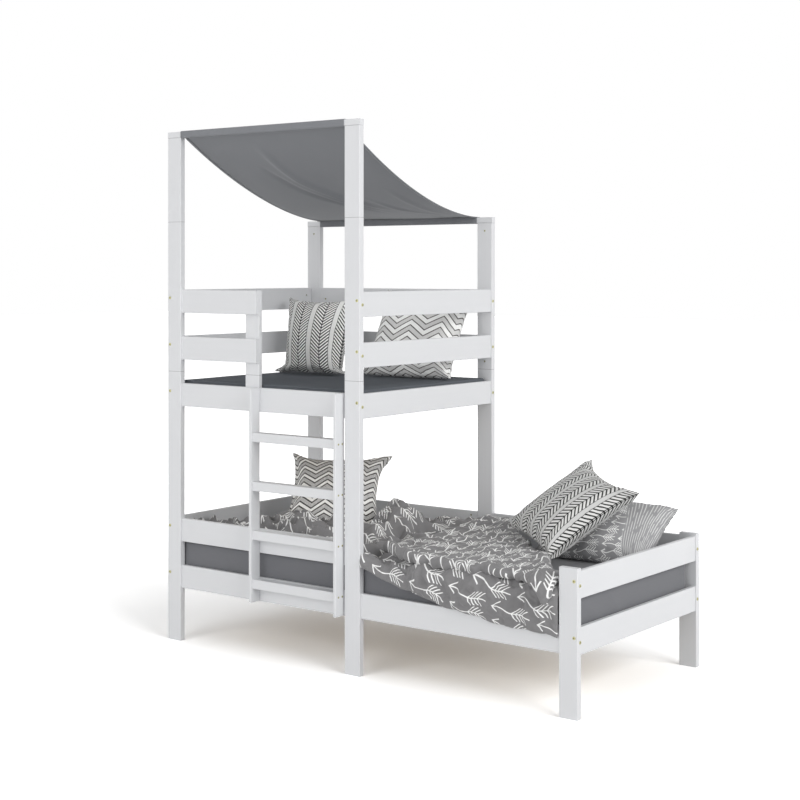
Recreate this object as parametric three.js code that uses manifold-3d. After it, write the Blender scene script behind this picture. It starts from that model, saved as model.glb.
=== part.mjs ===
import * as THREE from "three";
import Module from "manifold-3d";
import { mergeVertices } from "three/addons/utils/BufferGeometryUtils.js";

// Children's bed with a half-length play tower over one end, a ladder and a cloth canopy.
// Millimetres, +Z up, +X along the bed from the tower end, +Y from the front to the back.

const wasm = await Module();
wasm.setup();

// Frame
const bedLength = 2080;
const bedDepth = 970;
const postWidth = 78;
const postDepth = 27;
const shortPostHeight = 546;
const postSeamHeight = 1176;
const frontPostHeight = 2198;
const backPostHeight = 1830;
const canopyBarHeight = 26;
const railThickness = 18;
const railHeight = 101;
const railPitch = 204;
const bedRailBottom = 230;
const deckRailBottom = 1024;
const endRailSetback = 5;
const guardPostThickness = 20;
const guardRailReach = 437;
const edgeRadius = 2.5;

// Blind bores for the barrel nuts
const boreRadius = 5;
const boreDepth = 13;
const boreInset = 35;
const alongBoreDrop = 2;
const middleBoreOffset = 32;
const acrossBoreRise = 15;
const boreOverrun = 2;

// Ladder
const stileThickness = 14;
const stileFrontReach = 46;
const ladderWidth = 470;
const ladderPostGap = 8;
const ladderBottom = 233;
const rungCount = 4;
const rungHeight = 39;
const rungDepth = 42;
const rungFrontSetback = 9;
const firstRungCentre = 310;

// Slats, ledgers, mattress and play pad
const slatWidth = 68;
const slatThickness = 17;
const slatEndClearance = 4;
const bedSlatCount = 13;
const deckSlatsBesideGuard = 3;
const deckSlatsBesideEntry = 4;
const tapeWidth = 32;
const tapeThickness = 1;
const tapeBond = 0.5;
const ledgerDepth = 24;
const ledgerHeight = 30;
const ledgerEndClearance = 3;
const mattressRise = 61;
const mattressThickness = 150;
const mattressEndClearance = 6;
const mattressSideClearance = 5;
const mattressCornerRadius = 45;
const mattressEdgeRadius = 20;
const padRise = 63;
const padThickness = 50;
const padClearance = 4;
const padCornerRadius = 20;
const padEdgeRadius = 8;

// Canopy cloth
const clothThickness = 1.6;
const sleeveClearance = 0.6;
const clothEndClearance = 2;
const clothFoldHeight = 9;

// Duvet
const duvetThickness = 44;
const duvetFoldedThickness = 66;
const duvetHangThickness = 24;
const duvetTurnRadius = 42;
const duvetHangDrop = 146;
const duvetLeastDrop = 4;
const duvetBunchHeight = 62;
const duvetHeapHeight = 105;
const duvetLoftHeight = 34;
const duvetRippleHeight = 6;
const duvetRippleLength = 210;
const duvetSideClearance = 4;
const duvetPostClearance = 2;
const duvetSeamWidth = 60;
const softClearance = 0.3;

// Cushions: size, then the gap beside and the gap behind the lower seam
const deckLeftWidth = 420;
const deckLeftHeight = 365;
const deckLeftSideGap = 35;
const deckLeftBackGap = 303;
const deckRightWidth = 492;
const deckRightHeight = 445;
const deckRightSideGap = 36;
const deckRightBackGap = 238;
const bedCushionSize = 460;
const bedCushionSideGap = 272;
const bedCushionBackGap = 463;
const endCushionSize = 445;
const endCushionSideGap = 272.6;
const endCushionBackGap = 464.9;
const endCushionSink = 24.9;
const pillowWidth = 520;
const pillowHeight = 352;
const pillowSideGap = 17;
const pillowBackGap = 355;
const cushionThickness = 150;

// Sizes that follow from the driving dimensions
const midPostLeft = (bedLength - postWidth) / 2;
const towerRight = midPostLeft + postWidth;
const endPostLeft = bedLength - postWidth;
const backPostFront = bedDepth - postDepth;
const frontRailFace = postDepth - railThickness;
const upperBedRailBottom = bedRailBottom + railPitch;
const lowGuardBottom = deckRailBottom + railPitch;
const topGuardBottom = lowGuardBottom + railPitch;
const guardTop = topGuardBottom + railHeight;
const deckRailTop = deckRailBottom + railHeight;
const leftRailInner = endRailSetback + railThickness;
const towerRailInner = towerRight - leftRailInner;
const endRailInner = bedLength - leftRailInner;
const guardPostRight = postWidth + guardRailReach;
const guardPostLeft = guardPostRight - postWidth;
const mattressBase = bedRailBottom + mattressRise;
const padBase = deckRailBottom + padRise;
const mattressTop = mattressBase + mattressThickness;
const padTop = padBase + padThickness;
const sleeveWrap = sleeveClearance + clothThickness;

// Finishes
function finish(colour, roughness) {
  return new THREE.MeshStandardMaterial({ color: colour, roughness, metalness: 0 });
}
const whitePaint = finish(0xe9e9ea, 0.38);
const bareSlatWood = finish(0xd9c19a, 0.7);
const canopyGrey = finish(0x6d6f73, 0.9);
const mattressGrey = finish(0x75777b, 0.9);
const padSlate = finish(0x45494d, 0.9);
const printedGrey = finish(0x85858a, 0.95);
const herringboneCotton = finish(0xc9c9c6, 0.95);
const chevronCotton = finish(0xb4b4b2, 0.95);

// The bed is drawn from the front left foot and stands with its middle over the origin
const bed = new THREE.Group();
bed.position.set(-bedLength / 2, (stileFrontReach - bedDepth - sleeveWrap) / 2, 0);

const at = (x, y, z) => new THREE.Vector3(x, y, z);
const { clamp, degToRad, lerp, smoothstep } = THREE.MathUtils;

function addMesh(name, geometry, material) {
  const mesh = new THREE.Mesh(geometry, material);
  mesh.name = name;
  bed.add(mesh);
  return mesh;
}

// Solids and meshes
function toSolid(geometry) {
  const bare = geometry.clone();
  bare.deleteAttribute("normal");
  bare.deleteAttribute("uv");
  const merged = mergeVertices(bare);
  return new wasm.Manifold(new wasm.Mesh({
    numProp: 3,
    vertProperties: new Float32Array(merged.attributes.position.array),
    triVerts: new Uint32Array(merged.index.array),
  }));
}

function toGeometry(solid) {
  const mesh = solid.getMesh();
  const geometry = new THREE.BufferGeometry();
  geometry.setAttribute("position", new THREE.BufferAttribute(new Float32Array(mesh.vertProperties), 3));
  geometry.setIndex(new THREE.BufferAttribute(new Uint32Array(mesh.triVerts), 1));
  geometry.computeVertexNormals();
  return geometry;
}

function roundedRectangle(minX, minY, width, height, radius) {
  const shape = new THREE.Shape();
  const maxX = minX + width;
  const maxY = minY + height;
  shape.moveTo(minX + radius, minY);
  shape.lineTo(maxX - radius, minY);
  shape.absarc(maxX - radius, minY + radius, radius, -Math.PI / 2, 0);
  shape.lineTo(maxX, maxY - radius);
  shape.absarc(maxX - radius, maxY - radius, radius, 0, Math.PI / 2);
  shape.lineTo(minX + radius, maxY);
  shape.absarc(minX + radius, maxY - radius, radius, Math.PI / 2, Math.PI);
  shape.lineTo(minX, minY + radius);
  shape.absarc(minX + radius, minY + radius, radius, Math.PI, Math.PI * 1.5);
  return shape;
}

// Turns a profile drawn in its own plane so that its depth runs along X or Y
function axisSwap(axis) {
  const x = at(1, 0, 0);
  const y = at(0, 1, 0);
  const z = at(0, 0, 1);
  return axis === "x" ? new THREE.Matrix4().makeBasis(y, z, x) : new THREE.Matrix4().makeBasis(z, x, y);
}

// A board along X, Y or Z with its four long edges eased
function boardGeometry(axis, min, size) {
  const easedSegments = 2;
  const sides = {
    x: [min.y, min.z, size.y, size.z],
    y: [min.z, min.x, size.z, size.x],
    z: [min.x, min.y, size.x, size.y],
  };
  const section = roundedRectangle(...sides[axis], edgeRadius);
  const board = new THREE.ExtrudeGeometry(section, {
    depth: size[axis], bevelEnabled: false, curveSegments: easedSegments,
  });
  if (axis !== "z") board.applyMatrix4(axisSwap(axis));
  const shift = at(0, 0, 0);
  shift[axis] = min[axis];
  return board.translate(shift.x, shift.y, shift.z);
}

// A blind bore from its mouth into the wood
function boreGeometry(mouth, into) {
  const boreSides = 10;
  const bore = new THREE.CylinderGeometry(boreRadius, boreRadius, boreDepth + boreOverrun, boreSides);
  bore.translate(0, (boreDepth - boreOverrun) / 2, 0);
  bore.applyQuaternion(new THREE.Quaternion().setFromUnitVectors(at(0, 1, 0), into));
  return bore.translate(mouth.x, mouth.y, mouth.z);
}

function addBoard(name, axis, min, size, bores = []) {
  const board = boardGeometry(axis, min, size);
  if (bores.length === 0) return addMesh(name, board, whitePaint);
  const cut = bores.reduce((solid, bore) => solid.subtract(toSolid(bore)), toSolid(board));
  return addMesh(name, toGeometry(cut), whitePaint);
}

// Posts: two short end posts, and four tall posts each in two sections
const innerFace = { front: postDepth, back: backPostFront };
const outward = { front: at(0, -1, 0), back: at(0, 1, 0) };

function addPost(name, left, side, bottom, top, boreHeights = []) {
  const front = side === "front" ? 0 : backPostFront;
  const middle = left + postWidth / 2;
  const bores = boreHeights.map((height) => boreGeometry(at(middle, innerFace[side], height), outward[side]));
  addBoard(name, "z", at(left, front, bottom), at(postWidth, postDepth, top - bottom), bores);
}

function addTallPost(name, left, side, top) {
  addPost(`${name}_lower`, left, side, 0, postSeamHeight);
  addPost(`${name}_upper`, left, side, postSeamHeight, top, [postSeamHeight + boreInset, top - boreInset]);
}

addTallPost("post_front_left", 0, "front", frontPostHeight);
addTallPost("post_front_mid", midPostLeft, "front", frontPostHeight);
addTallPost("post_back_left", 0, "back", backPostHeight);
addTallPost("post_back_mid", midPostLeft, "back", backPostHeight);
addPost("post_end_front", endPostLeft, "front", 0, shortPostHeight);
addPost("post_end_back", endPostLeft, "back", 0, shortPostHeight);

// A rail along the bed stands between two posts, with bores at the given rises over its middle
function addRailAlong(name, side, start, end, bottom, startRise, endRise) {
  const front = side === "front" ? frontRailFace : backPostFront;
  const middle = bottom + railHeight / 2;
  const mouths = [];
  if (startRise !== null) mouths.push(at(start + boreInset, innerFace[side], middle + startRise));
  if (endRise !== null) mouths.push(at(end - boreInset, innerFace[side], middle + endRise));
  const bores = mouths.map((mouth) => boreGeometry(mouth, outward[side]));
  addBoard(name, "x", at(start, front, bottom), at(end - start, railThickness, railHeight), bores);
}

// A rail across the bed stands behind the front posts and before the back ones
function addRailAcross(name, end, outerFace, bottom) {
  const facesRight = end === "left";
  const left = facesRight ? outerFace : outerFace - railThickness;
  const inner = facesRight ? left + railThickness : left;
  const into = facesRight ? at(-1, 0, 0) : at(1, 0, 0);
  const height = bottom + railHeight / 2 + acrossBoreRise;
  const depths = [postDepth + boreInset, backPostFront - boreInset];
  const bores = depths.map((depth) => boreGeometry(at(inner, depth, height), into));
  const size = at(railThickness, backPostFront - postDepth, railHeight);
  addBoard(name, "y", at(left, postDepth, bottom), size, bores);
}

const bedLevels = [["lower", bedRailBottom], ["upper", upperBedRailBottom]];
for (const [level, bottom] of bedLevels) {
  for (const side of ["front", "back"]) {
    const leftName = `bed_rail_${side}_left_${level}`;
    addRailAlong(leftName, side, postWidth, midPostLeft, bottom, -alongBoreDrop, middleBoreOffset);
    const open = side === "front" && level === "upper";
    if (open) continue;
    const rightName = `bed_rail_${side}_right_${level}`;
    addRailAlong(rightName, side, towerRight, endPostLeft, bottom, -middleBoreOffset, -alongBoreDrop);
  }
  addRailAcross(`bed_rail_left_end_${level}`, "left", endRailSetback, bottom);
  addRailAcross(`bed_rail_right_end_${level}`, "right", bedLength - endRailSetback, bottom);
}

const towerLevels = [["deck_rail", deckRailBottom], ["guard_low", lowGuardBottom], ["guard_top", topGuardBottom]];
for (const [level, bottom] of towerLevels) {
  if (level === "deck_rail") {
    addRailAlong(`${level}_front`, "front", postWidth, midPostLeft, bottom, -alongBoreDrop, -alongBoreDrop);
  } else {
    addRailAlong(`${level}_front`, "front", postWidth, guardPostRight, bottom, -alongBoreDrop, null);
  }
  addRailAlong(`${level}_back`, "back", postWidth, midPostLeft, bottom, -alongBoreDrop, -alongBoreDrop);
  addRailAcross(`${level}_left`, "left", endRailSetback, bottom);
  addRailAcross(`${level}_right`, "right", towerRight - endRailSetback, bottom);
}

// The entry post stands behind the deck rail and carries the two short guard rails
addBoard(
  "guard_post", "z",
  at(guardPostLeft, postDepth, deckRailBottom),
  at(postWidth, guardPostThickness, guardTop - deckRailBottom),
);

// Ladder
function addLadder() {
  const right = midPostLeft - ladderPostGap;
  const left = right - ladderWidth;
  const stileSize = at(stileThickness, stileFrontReach + frontRailFace, deckRailTop - ladderBottom);
  addBoard("ladder_stile_left", "z", at(left, -stileFrontReach, ladderBottom), stileSize);
  addBoard("ladder_stile_right", "z", at(right - stileThickness, -stileFrontReach, ladderBottom), stileSize);
  const rungStart = left + stileThickness;
  const rungSpan = ladderWidth - 2 * stileThickness;
  const rungFront = rungFrontSetback - stileFrontReach;
  for (let i = 0; i < rungCount; i += 1) {
    const bottom = firstRungCentre + i * railPitch - rungHeight / 2;
    addBoard(`ladder_rung_${i + 1}`, "x", at(rungStart, rungFront, bottom), at(rungSpan, rungDepth, rungHeight));
  }
}
addLadder();

// Ledgers and rolled slat bases
function slatCentres(start, end, count) {
  const pitch = (end - start) / count;
  return Array.from({ length: count }, (_, i) => start + pitch * (i + 0.5));
}

function addSlatRoll(name, centres, front, back, top) {
  const slats = centres.map((centre) => {
    const min = at(centre - slatWidth / 2, front + slatEndClearance, top - slatThickness);
    const size = at(slatWidth, back - front - 2 * slatEndClearance, slatThickness);
    return toSolid(boardGeometry("y", min, size));
  });
  const tapeShares = [0.22, 0.78];
  const first = centres[0];
  const last = centres[centres.length - 1];
  const tapes = tapeShares.map((share) => {
    const tape = new THREE.BoxGeometry(last - first, tapeWidth, tapeThickness + tapeBond);
    const rise = (tapeThickness - tapeBond) / 2;
    return toSolid(tape.translate((first + last) / 2, lerp(front, back, share), top + rise));
  });
  const roll = [...slats, ...tapes].reduce((whole, piece) => whole.add(piece));
  addMesh(name, toGeometry(roll), bareSlatWood);
}

function addLedger(name, start, end, front, top) {
  const min = at(start + ledgerEndClearance, front, top - ledgerHeight);
  addBoard(name, "x", min, at(end - start - 2 * ledgerEndClearance, ledgerDepth, ledgerHeight));
}

const bedSlatTop = mattressBase - tapeThickness;
const deckSlatTop = padBase - tapeThickness;
const bedLedgerTop = bedSlatTop - slatThickness;
const deckLedgerTop = deckSlatTop - slatThickness;
const backLedgerFront = backPostFront - ledgerDepth;
addLedger("bed_ledger_front", leftRailInner, endRailInner, postDepth, bedLedgerTop);
addLedger("bed_ledger_back", leftRailInner, endRailInner, backLedgerFront, bedLedgerTop);
addLedger("deck_ledger_front_left", leftRailInner, guardPostLeft, postDepth, deckLedgerTop);
addLedger("deck_ledger_front_right", guardPostRight, towerRailInner, postDepth, deckLedgerTop);
addLedger("deck_ledger_back", leftRailInner, towerRailInner, backLedgerFront, deckLedgerTop);

const bedSlats = slatCentres(leftRailInner, endRailInner, bedSlatCount);
const deckSlats = [
  ...slatCentres(leftRailInner, guardPostLeft, deckSlatsBesideGuard),
  ...slatCentres(guardPostRight, towerRailInner, deckSlatsBesideEntry),
];
addSlatRoll("bed_slat_roll", bedSlats, postDepth, backPostFront, bedSlatTop);
addSlatRoll("deck_slat_roll", deckSlats, postDepth, backPostFront, deckSlatTop);

// Mattress and play pad: blocks with rounded corners and rolled top and bottom edges
function paddedBlock(min, size, cornerRadius, rollRadius) {
  const cornerSegments = 5;
  const rollSegments = 3;
  const outline = roundedRectangle(
    min.x + rollRadius, min.y + rollRadius,
    size.x - 2 * rollRadius, size.y - 2 * rollRadius,
    cornerRadius - rollRadius,
  );
  return new THREE.ExtrudeGeometry(outline, {
    depth: size.z - 2 * rollRadius,
    curveSegments: cornerSegments,
    bevelThickness: rollRadius,
    bevelSize: rollRadius,
    bevelSegments: rollSegments,
  }).translate(0, 0, min.z + rollRadius);
}

function blockBetween(left, right, front, back, base, thickness) {
  return [at(left, front, base), at(right - left, back - front, thickness)];
}

const mattressBlock = blockBetween(
  leftRailInner + mattressEndClearance, endRailInner - mattressEndClearance,
  postDepth + mattressSideClearance, backPostFront - mattressSideClearance,
  mattressBase, mattressThickness,
);
addMesh("mattress", paddedBlock(...mattressBlock, mattressCornerRadius, mattressEdgeRadius), mattressGrey);

const padBlock = blockBetween(
  leftRailInner + padClearance, towerRailInner - padClearance,
  postDepth + guardPostThickness + padClearance, backPostFront - padClearance,
  padBase, padThickness,
);
addMesh("deck_pad", paddedBlock(...padBlock, padCornerRadius, padEdgeRadius), padSlate);

// A closed skin over a grid of shares: an upper and a lower sheet that share their rim,
// or that are joined by a wall round the edge
function skinGeometry(stepsU, stepsV, upperAt, lowerAt, walled) {
  const positions = [];
  const addPoint = (point) => {
    positions.push(point.x, point.y, point.z);
    return positions.length / 3 - 1;
  };
  const row = stepsV + 1;
  const upper = [];
  const lower = [];
  for (let i = 0; i <= stepsU; i += 1) {
    for (let j = 0; j <= stepsV; j += 1) {
      const onRim = i === 0 || j === 0 || i === stepsU || j === stepsV;
      const index = addPoint(upperAt(i / stepsU, j / stepsV));
      upper.push(index);
      lower.push(onRim && !walled ? index : addPoint(lowerAt(i / stepsU, j / stepsV)));
    }
  }
  const faces = [];
  for (let i = 0; i < stepsU; i += 1) {
    for (let j = 0; j < stepsV; j += 1) {
      const [a, b, c, d] = [i * row + j, (i + 1) * row + j, (i + 1) * row + j + 1, i * row + j + 1];
      faces.push(upper[a], upper[b], upper[c], upper[a], upper[c], upper[d]);
      faces.push(lower[a], lower[c], lower[b], lower[a], lower[d], lower[c]);
    }
  }
  if (walled) {
    const rim = [];
    for (let i = 0; i < stepsU; i += 1) rim.push(i * row);
    for (let j = 0; j < stepsV; j += 1) rim.push(stepsU * row + j);
    for (let i = stepsU; i > 0; i -= 1) rim.push(i * row + stepsV);
    for (let j = stepsV; j > 0; j -= 1) rim.push(j);
    rim.forEach((p, k) => {
      const q = rim[(k + 1) % rim.length];
      faces.push(upper[p], lower[p], lower[q], upper[p], lower[q], upper[q]);
    });
  }
  const geometry = new THREE.BufferGeometry();
  geometry.setAttribute("position", new THREE.Float32BufferAttribute(positions, 3));
  geometry.setIndex(faces);
  geometry.computeVertexNormals();
  return geometry;
}

// Canopy: a bar on each pair of tall posts, and one cloth with a sleeve round each bar
const barSize = at(towerRight, postDepth, canopyBarHeight);
addBoard("canopy_bar_front", "x", at(0, 0, frontPostHeight), barSize);
addBoard("canopy_bar_back", "x", at(0, backPostFront, backPostHeight), barSize);

function sleeveSolid(front, bottom, left, width) {
  const sleeveSegments = 3;
  const outer = roundedRectangle(
    front - sleeveWrap, bottom - sleeveWrap,
    postDepth + 2 * sleeveWrap, canopyBarHeight + 2 * sleeveWrap, edgeRadius + sleeveWrap,
  );
  outer.holes.push(roundedRectangle(
    front - sleeveClearance, bottom - sleeveClearance,
    postDepth + 2 * sleeveClearance, canopyBarHeight + 2 * sleeveClearance, edgeRadius,
  ));
  const sleeve = new THREE.ExtrudeGeometry(outer, {
    depth: width, bevelEnabled: false, curveSegments: sleeveSegments,
  });
  return toSolid(sleeve.applyMatrix4(axisSwap("x")).translate(left, 0, 0));
}

// The cloth leaves the lower back edge of the front sleeve, sags, and runs onto the back sleeve
function sagSolid(left, width) {
  const stepsAlong = 16;
  const stepsDown = 20;
  const sagPower = 1.8;
  const foldCount = 2.5;
  const foldSlant = 1.4;
  const wrap = sleeveClearance + clothThickness / 2;
  const start = at(left, postDepth + wrap, frontPostHeight - sleeveClearance + edgeRadius);
  const end = at(left, backPostFront + edgeRadius, backPostHeight + canopyBarHeight + wrap);
  const middleAt = (along, down) => {
    const fade = Math.sin(Math.PI * along) * Math.sin(Math.PI * down) ** 2;
    const fold = Math.cos(2 * Math.PI * (foldCount * down - foldSlant * along));
    return at(
      left + width * along,
      lerp(start.y, end.y, down),
      lerp(end.z, start.z, (1 - down) ** sagPower) + clothFoldHeight * fade * fold,
    );
  };
  const slopeStep = 0.01;
  const sheetAt = (side) => (along, down) => {
    const before = middleAt(along, down - slopeStep * Math.sign(down));
    const after = middleAt(along, down + slopeStep * Math.sign(1 - down));
    const run = after.sub(before).normalize();
    return middleAt(along, down).add(at(0, -run.z, run.y).multiplyScalar(side * clothThickness / 2));
  };
  return toSolid(skinGeometry(stepsAlong, stepsDown, sheetAt(1), sheetAt(-1), true));
}

const clothLeft = postWidth + clothEndClearance;
const clothWidth = midPostLeft - clothEndClearance - clothLeft;
const cloth = sleeveSolid(0, frontPostHeight, clothLeft, clothWidth)
  .add(sleeveSolid(backPostFront, backPostHeight, clothLeft, clothWidth))
  .add(sagSolid(clothLeft, clothWidth));
addMesh("canopy_cloth", toGeometry(cloth), canopyGrey);

// Cushion: full in the middle, thin at its seam, with drawn-in sides and pointed corners
function cushionGeometry(width, height, thickness) {
  const steps = 14;
  const drawnShare = 0.09;
  const fullness = 0.55;
  const sheetAt = (side) => (shareU, shareV) => {
    const u = -Math.cos(Math.PI * shareU);
    const v = -Math.cos(Math.PI * shareV);
    const crown = ((1 - u * u) * (1 - v * v)) ** fullness;
    return at(
      width / 2 * u * (1 - drawnShare * (1 - v * v)),
      height / 2 * v * (1 - drawnShare * (1 - u * u)),
      side * thickness / 2 * crown,
    );
  };
  return skinGeometry(steps, steps, sheetAt(1), sheetAt(-1), false);
}

// A cushion rolls in its own plane, leans back, turns about the upright, and rests on its floor
function addCushion(name, width, height, foot, turn, floor, material) {
  const cushion = addMesh(name, cushionGeometry(width, height, cushionThickness), material);
  const aboutX = at(1, 0, 0);
  const aboutZ = at(0, 0, 1);
  const yaw = new THREE.Quaternion().setFromAxisAngle(aboutZ, degToRad(turn.yaw));
  const stand = new THREE.Quaternion().setFromAxisAngle(aboutX, Math.PI / 2 - degToRad(turn.lean));
  const roll = new THREE.Quaternion().setFromAxisAngle(aboutZ, degToRad(turn.roll));
  cushion.quaternion.copy(yaw.multiply(stand).multiply(roll));
  const rise = at(0, height / 2, 0).applyQuaternion(cushion.quaternion);
  cushion.position.set(foot.x + rise.x, foot.y + rise.y, 0);
  bed.updateMatrixWorld(true);
  const lowest = new THREE.Box3().setFromObject(cushion, true).min.z;
  cushion.position.z = floor + softClearance - lowest;
}

function footFromLeft(width, sideGap, backGap) {
  return at(leftRailInner + sideGap + width / 2, backPostFront - backGap, 0);
}

function footFromRight(innerRail, width, sideGap, backGap) {
  return at(innerRail - sideGap - width / 2, backPostFront - backGap, 0);
}

const duvetFoldTop = mattressTop + softClearance + duvetFoldedThickness + duvetRippleHeight;

addCushion(
  "deck_cushion_left", deckLeftWidth, deckLeftHeight,
  footFromLeft(deckLeftWidth, deckLeftSideGap, deckLeftBackGap),
  { yaw: 0, lean: 14, roll: 0 }, padTop, herringboneCotton,
);
addCushion(
  "deck_cushion_right", deckRightWidth, deckRightHeight,
  footFromRight(towerRailInner, deckRightWidth, deckRightSideGap, deckRightBackGap),
  { yaw: 0, lean: 27, roll: 0 }, padTop, chevronCotton,
);
addCushion(
  "bed_cushion", bedCushionSize, bedCushionSize,
  footFromLeft(bedCushionSize, bedCushionSideGap, bedCushionBackGap),
  { yaw: 32, lean: 48, roll: 0 }, mattressTop, chevronCotton,
);
addCushion(
  "end_cushion", endCushionSize, endCushionSize,
  footFromRight(endRailInner, endCushionSize, endCushionSideGap, endCushionBackGap),
  { yaw: -23, lean: 54, roll: -15 }, duvetFoldTop - endCushionSink, herringboneCotton,
);
addCushion(
  "pillow", pillowWidth, pillowHeight,
  footFromRight(endRailInner, pillowWidth, pillowSideGap, pillowBackGap),
  { yaw: 0, lean: 53, roll: 0 }, mattressTop, printedGrey,
);

// Duvet: it lies on the mattress with a slanting edge before the pillow, is turned back on itself
// beyond the tower, hangs over the open front side and is bunched under the tower
function shareCurve(shares) {
  return (share) => {
    const next = Math.max(1, shares.findIndex(([place]) => place >= share));
    const [before, after] = [shares[next - 1], shares[next]];
    const part = clamp((share - before[0]) / (after[0] - before[0]), 0, 1);
    return lerp(before[1], after[1], part);
  };
}

function duvetGeometry() {
  const stepsAlong = 34;
  const stepsAcross = 16;
  const towerStepShare = 16 / stepsAlong;
  const flatStepShare = 0.56;
  const turnStepShare = 0.8;
  const hangPower = 2.1;
  const left = leftRailInner + duvetSideClearance;
  const openLeft = towerRight + duvetPostClearance;
  const right = endPostLeft - duvetPostClearance;
  const insideFront = postDepth + duvetPostClearance;
  const insideBack = backPostFront - duvetSideClearance;
  const base = mattressTop + softClearance;
  const hangFace = frontRailFace - softClearance - duvetHangThickness / 2;

  // How far back the duvet reaches, as shares of the mattress length and depth
  const backReachShares = [
    [0, 0.28], [0.13, 0.28], [0.31, 0.46], [0.37, 0.53], [0.4, 0.94], [0.55, 0.99], [0.6, 0.97],
    [0.8, 0.5], [0.87, 0.38], [0.9, 0.29], [0.97, 0.04], [1, 0.03],
  ];
  const backReach = shareCurve(backReachShares);

  // Bunched before the bed cushion, heaped beside it, and lofty at the back of the open half
  const bunches = [
    { rise: duvetBunchHeight, alongShare: 0.27, acrossShare: 0.33, sizeShare: 0.12 },
    { rise: duvetHeapHeight, alongShare: 0.392, acrossShare: 0.63, sizeShare: 0.06 },
    { rise: duvetLoftHeight, alongShare: 0.6, acrossShare: 0.88, sizeShare: 0.09 },
  ];

  const alongAt = (u) => (u <= towerStepShare
    ? lerp(left, openLeft, u / towerStepShare)
    : lerp(openLeft, right, (u - towerStepShare) / (1 - towerStepShare)));

  const thicknessAt = (x, y) => {
    const folded = smoothstep(x, openLeft - duvetSeamWidth, openLeft + duvetSeamWidth);
    const bunched = bunches.reduce((height, { rise, alongShare, acrossShare, sizeShare }) => {
      const along = (x - left) / (right - left) - alongShare;
      const across = ((y - insideFront) / (insideBack - insideFront) - acrossShare) / 2;
      return height + rise * Math.exp(-(along * along + across * across) / sizeShare ** 2);
    }, 0);
    return lerp(duvetThickness, duvetFoldedThickness, folded) + bunched;
  };

  const seamAt = (u, v) => {
    const edge = Math.min(u, 1 - u, v, 1 - v) * stepsAcross / 2;
    return Math.sqrt(1 - (1 - clamp(edge, 0, 1)) ** 2);
  };

  // The middle of the duvet, the way out of its upper side, and half its thickness
  const frameAt = (u, v) => {
    const x = alongAt(u);
    const back = lerp(insideFront, insideBack, backReach((x - left) / (right - left)));
    const turnBack = hangFace + duvetTurnRadius;
    const isOpen = u > towerStepShare;
    if (!isOpen) {
      const y = v <= flatStepShare
        ? lerp(back, turnBack, v / flatStepShare)
        : lerp(turnBack, insideFront, (v - flatStepShare) / (1 - flatStepShare));
      const half = thicknessAt(x, y) / 2;
      return { middle: at(x, y, base + half), out: at(0, 0, 1), half };
    }
    const foldedHalf = thicknessAt(x, turnBack) / 2;
    const turnTop = base + foldedHalf;
    if (v <= flatStepShare) {
      const y = lerp(Math.max(back, turnBack + duvetTurnRadius), turnBack, v / flatStepShare);
      const half = thicknessAt(x, y) / 2;
      return { middle: at(x, y, base + half), out: at(0, 0, 1), half };
    }
    if (v <= turnStepShare) {
      const part = (v - flatStepShare) / (turnStepShare - flatStepShare);
      const angle = part * Math.PI / 2;
      const out = at(0, -Math.sin(angle), Math.cos(angle));
      const half = lerp(foldedHalf, duvetHangThickness / 2, part ** 3);
      const middle = at(x, turnBack, turnTop - duvetTurnRadius).addScaledVector(out, duvetTurnRadius);
      return { middle, out, half };
    }
    const part = (v - turnStepShare) / (1 - turnStepShare);
    const open = (x - openLeft) / (right - openLeft);
    const hem = mattressTop - duvetLeastDrop - duvetHangDrop * (1 - (1 - open) ** hangPower);
    const z = lerp(turnTop - duvetTurnRadius, hem, part);
    return { middle: at(x, hangFace, z), out: at(0, -1, 0), half: duvetHangThickness / 2 };
  };

  const rippleAt = (point) => {
    const wave = 2 * Math.PI / duvetRippleLength;
    const slant = 0.6;
    const crossing = [1.3, -0.4];
    const slanted = Math.sin(wave * (point.x + point.y * slant));
    const crossed = Math.sin(wave * (point.y * crossing[0] + point.x * crossing[1]));
    return duvetRippleHeight * slanted * crossed;
  };

  const sheetAt = (side) => (u, v) => {
    const { middle, out, half } = frameAt(u, v);
    const ripple = side > 0 ? rippleAt(middle) : 0;
    return middle.clone().addScaledVector(out, (side * half + ripple) * seamAt(u, v));
  };
  // v runs towards the front, so the underside is the sheet that comes first
  return skinGeometry(stepsAlong, stepsAcross, sheetAt(-1), sheetAt(1), false);
}
addMesh("duvet", duvetGeometry(), printedGrey);

export default bed;
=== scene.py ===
"""Looks of a children's tower bed: painted frame, fasteners, canopy, foam blocks and bedding."""

import logging
import math
from collections.abc import Sequence
from dataclasses import dataclass, field
from enum import Enum

import bmesh
import bpy
import numpy as np
from mathutils import Matrix, Vector, noise


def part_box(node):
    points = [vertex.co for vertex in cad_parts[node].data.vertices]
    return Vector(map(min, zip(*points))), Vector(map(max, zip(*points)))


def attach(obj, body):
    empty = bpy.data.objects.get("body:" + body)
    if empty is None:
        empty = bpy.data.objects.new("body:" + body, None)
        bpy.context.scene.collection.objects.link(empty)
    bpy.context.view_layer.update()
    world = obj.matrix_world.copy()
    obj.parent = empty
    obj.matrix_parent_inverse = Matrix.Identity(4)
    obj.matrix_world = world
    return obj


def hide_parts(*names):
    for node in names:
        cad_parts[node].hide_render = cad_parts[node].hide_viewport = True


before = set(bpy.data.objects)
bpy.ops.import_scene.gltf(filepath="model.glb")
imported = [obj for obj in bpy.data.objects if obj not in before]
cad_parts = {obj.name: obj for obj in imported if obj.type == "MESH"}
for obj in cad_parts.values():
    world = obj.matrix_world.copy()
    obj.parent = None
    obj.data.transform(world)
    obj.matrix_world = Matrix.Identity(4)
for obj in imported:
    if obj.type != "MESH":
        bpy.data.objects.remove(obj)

log = logging.getLogger("tower_bed")

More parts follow.
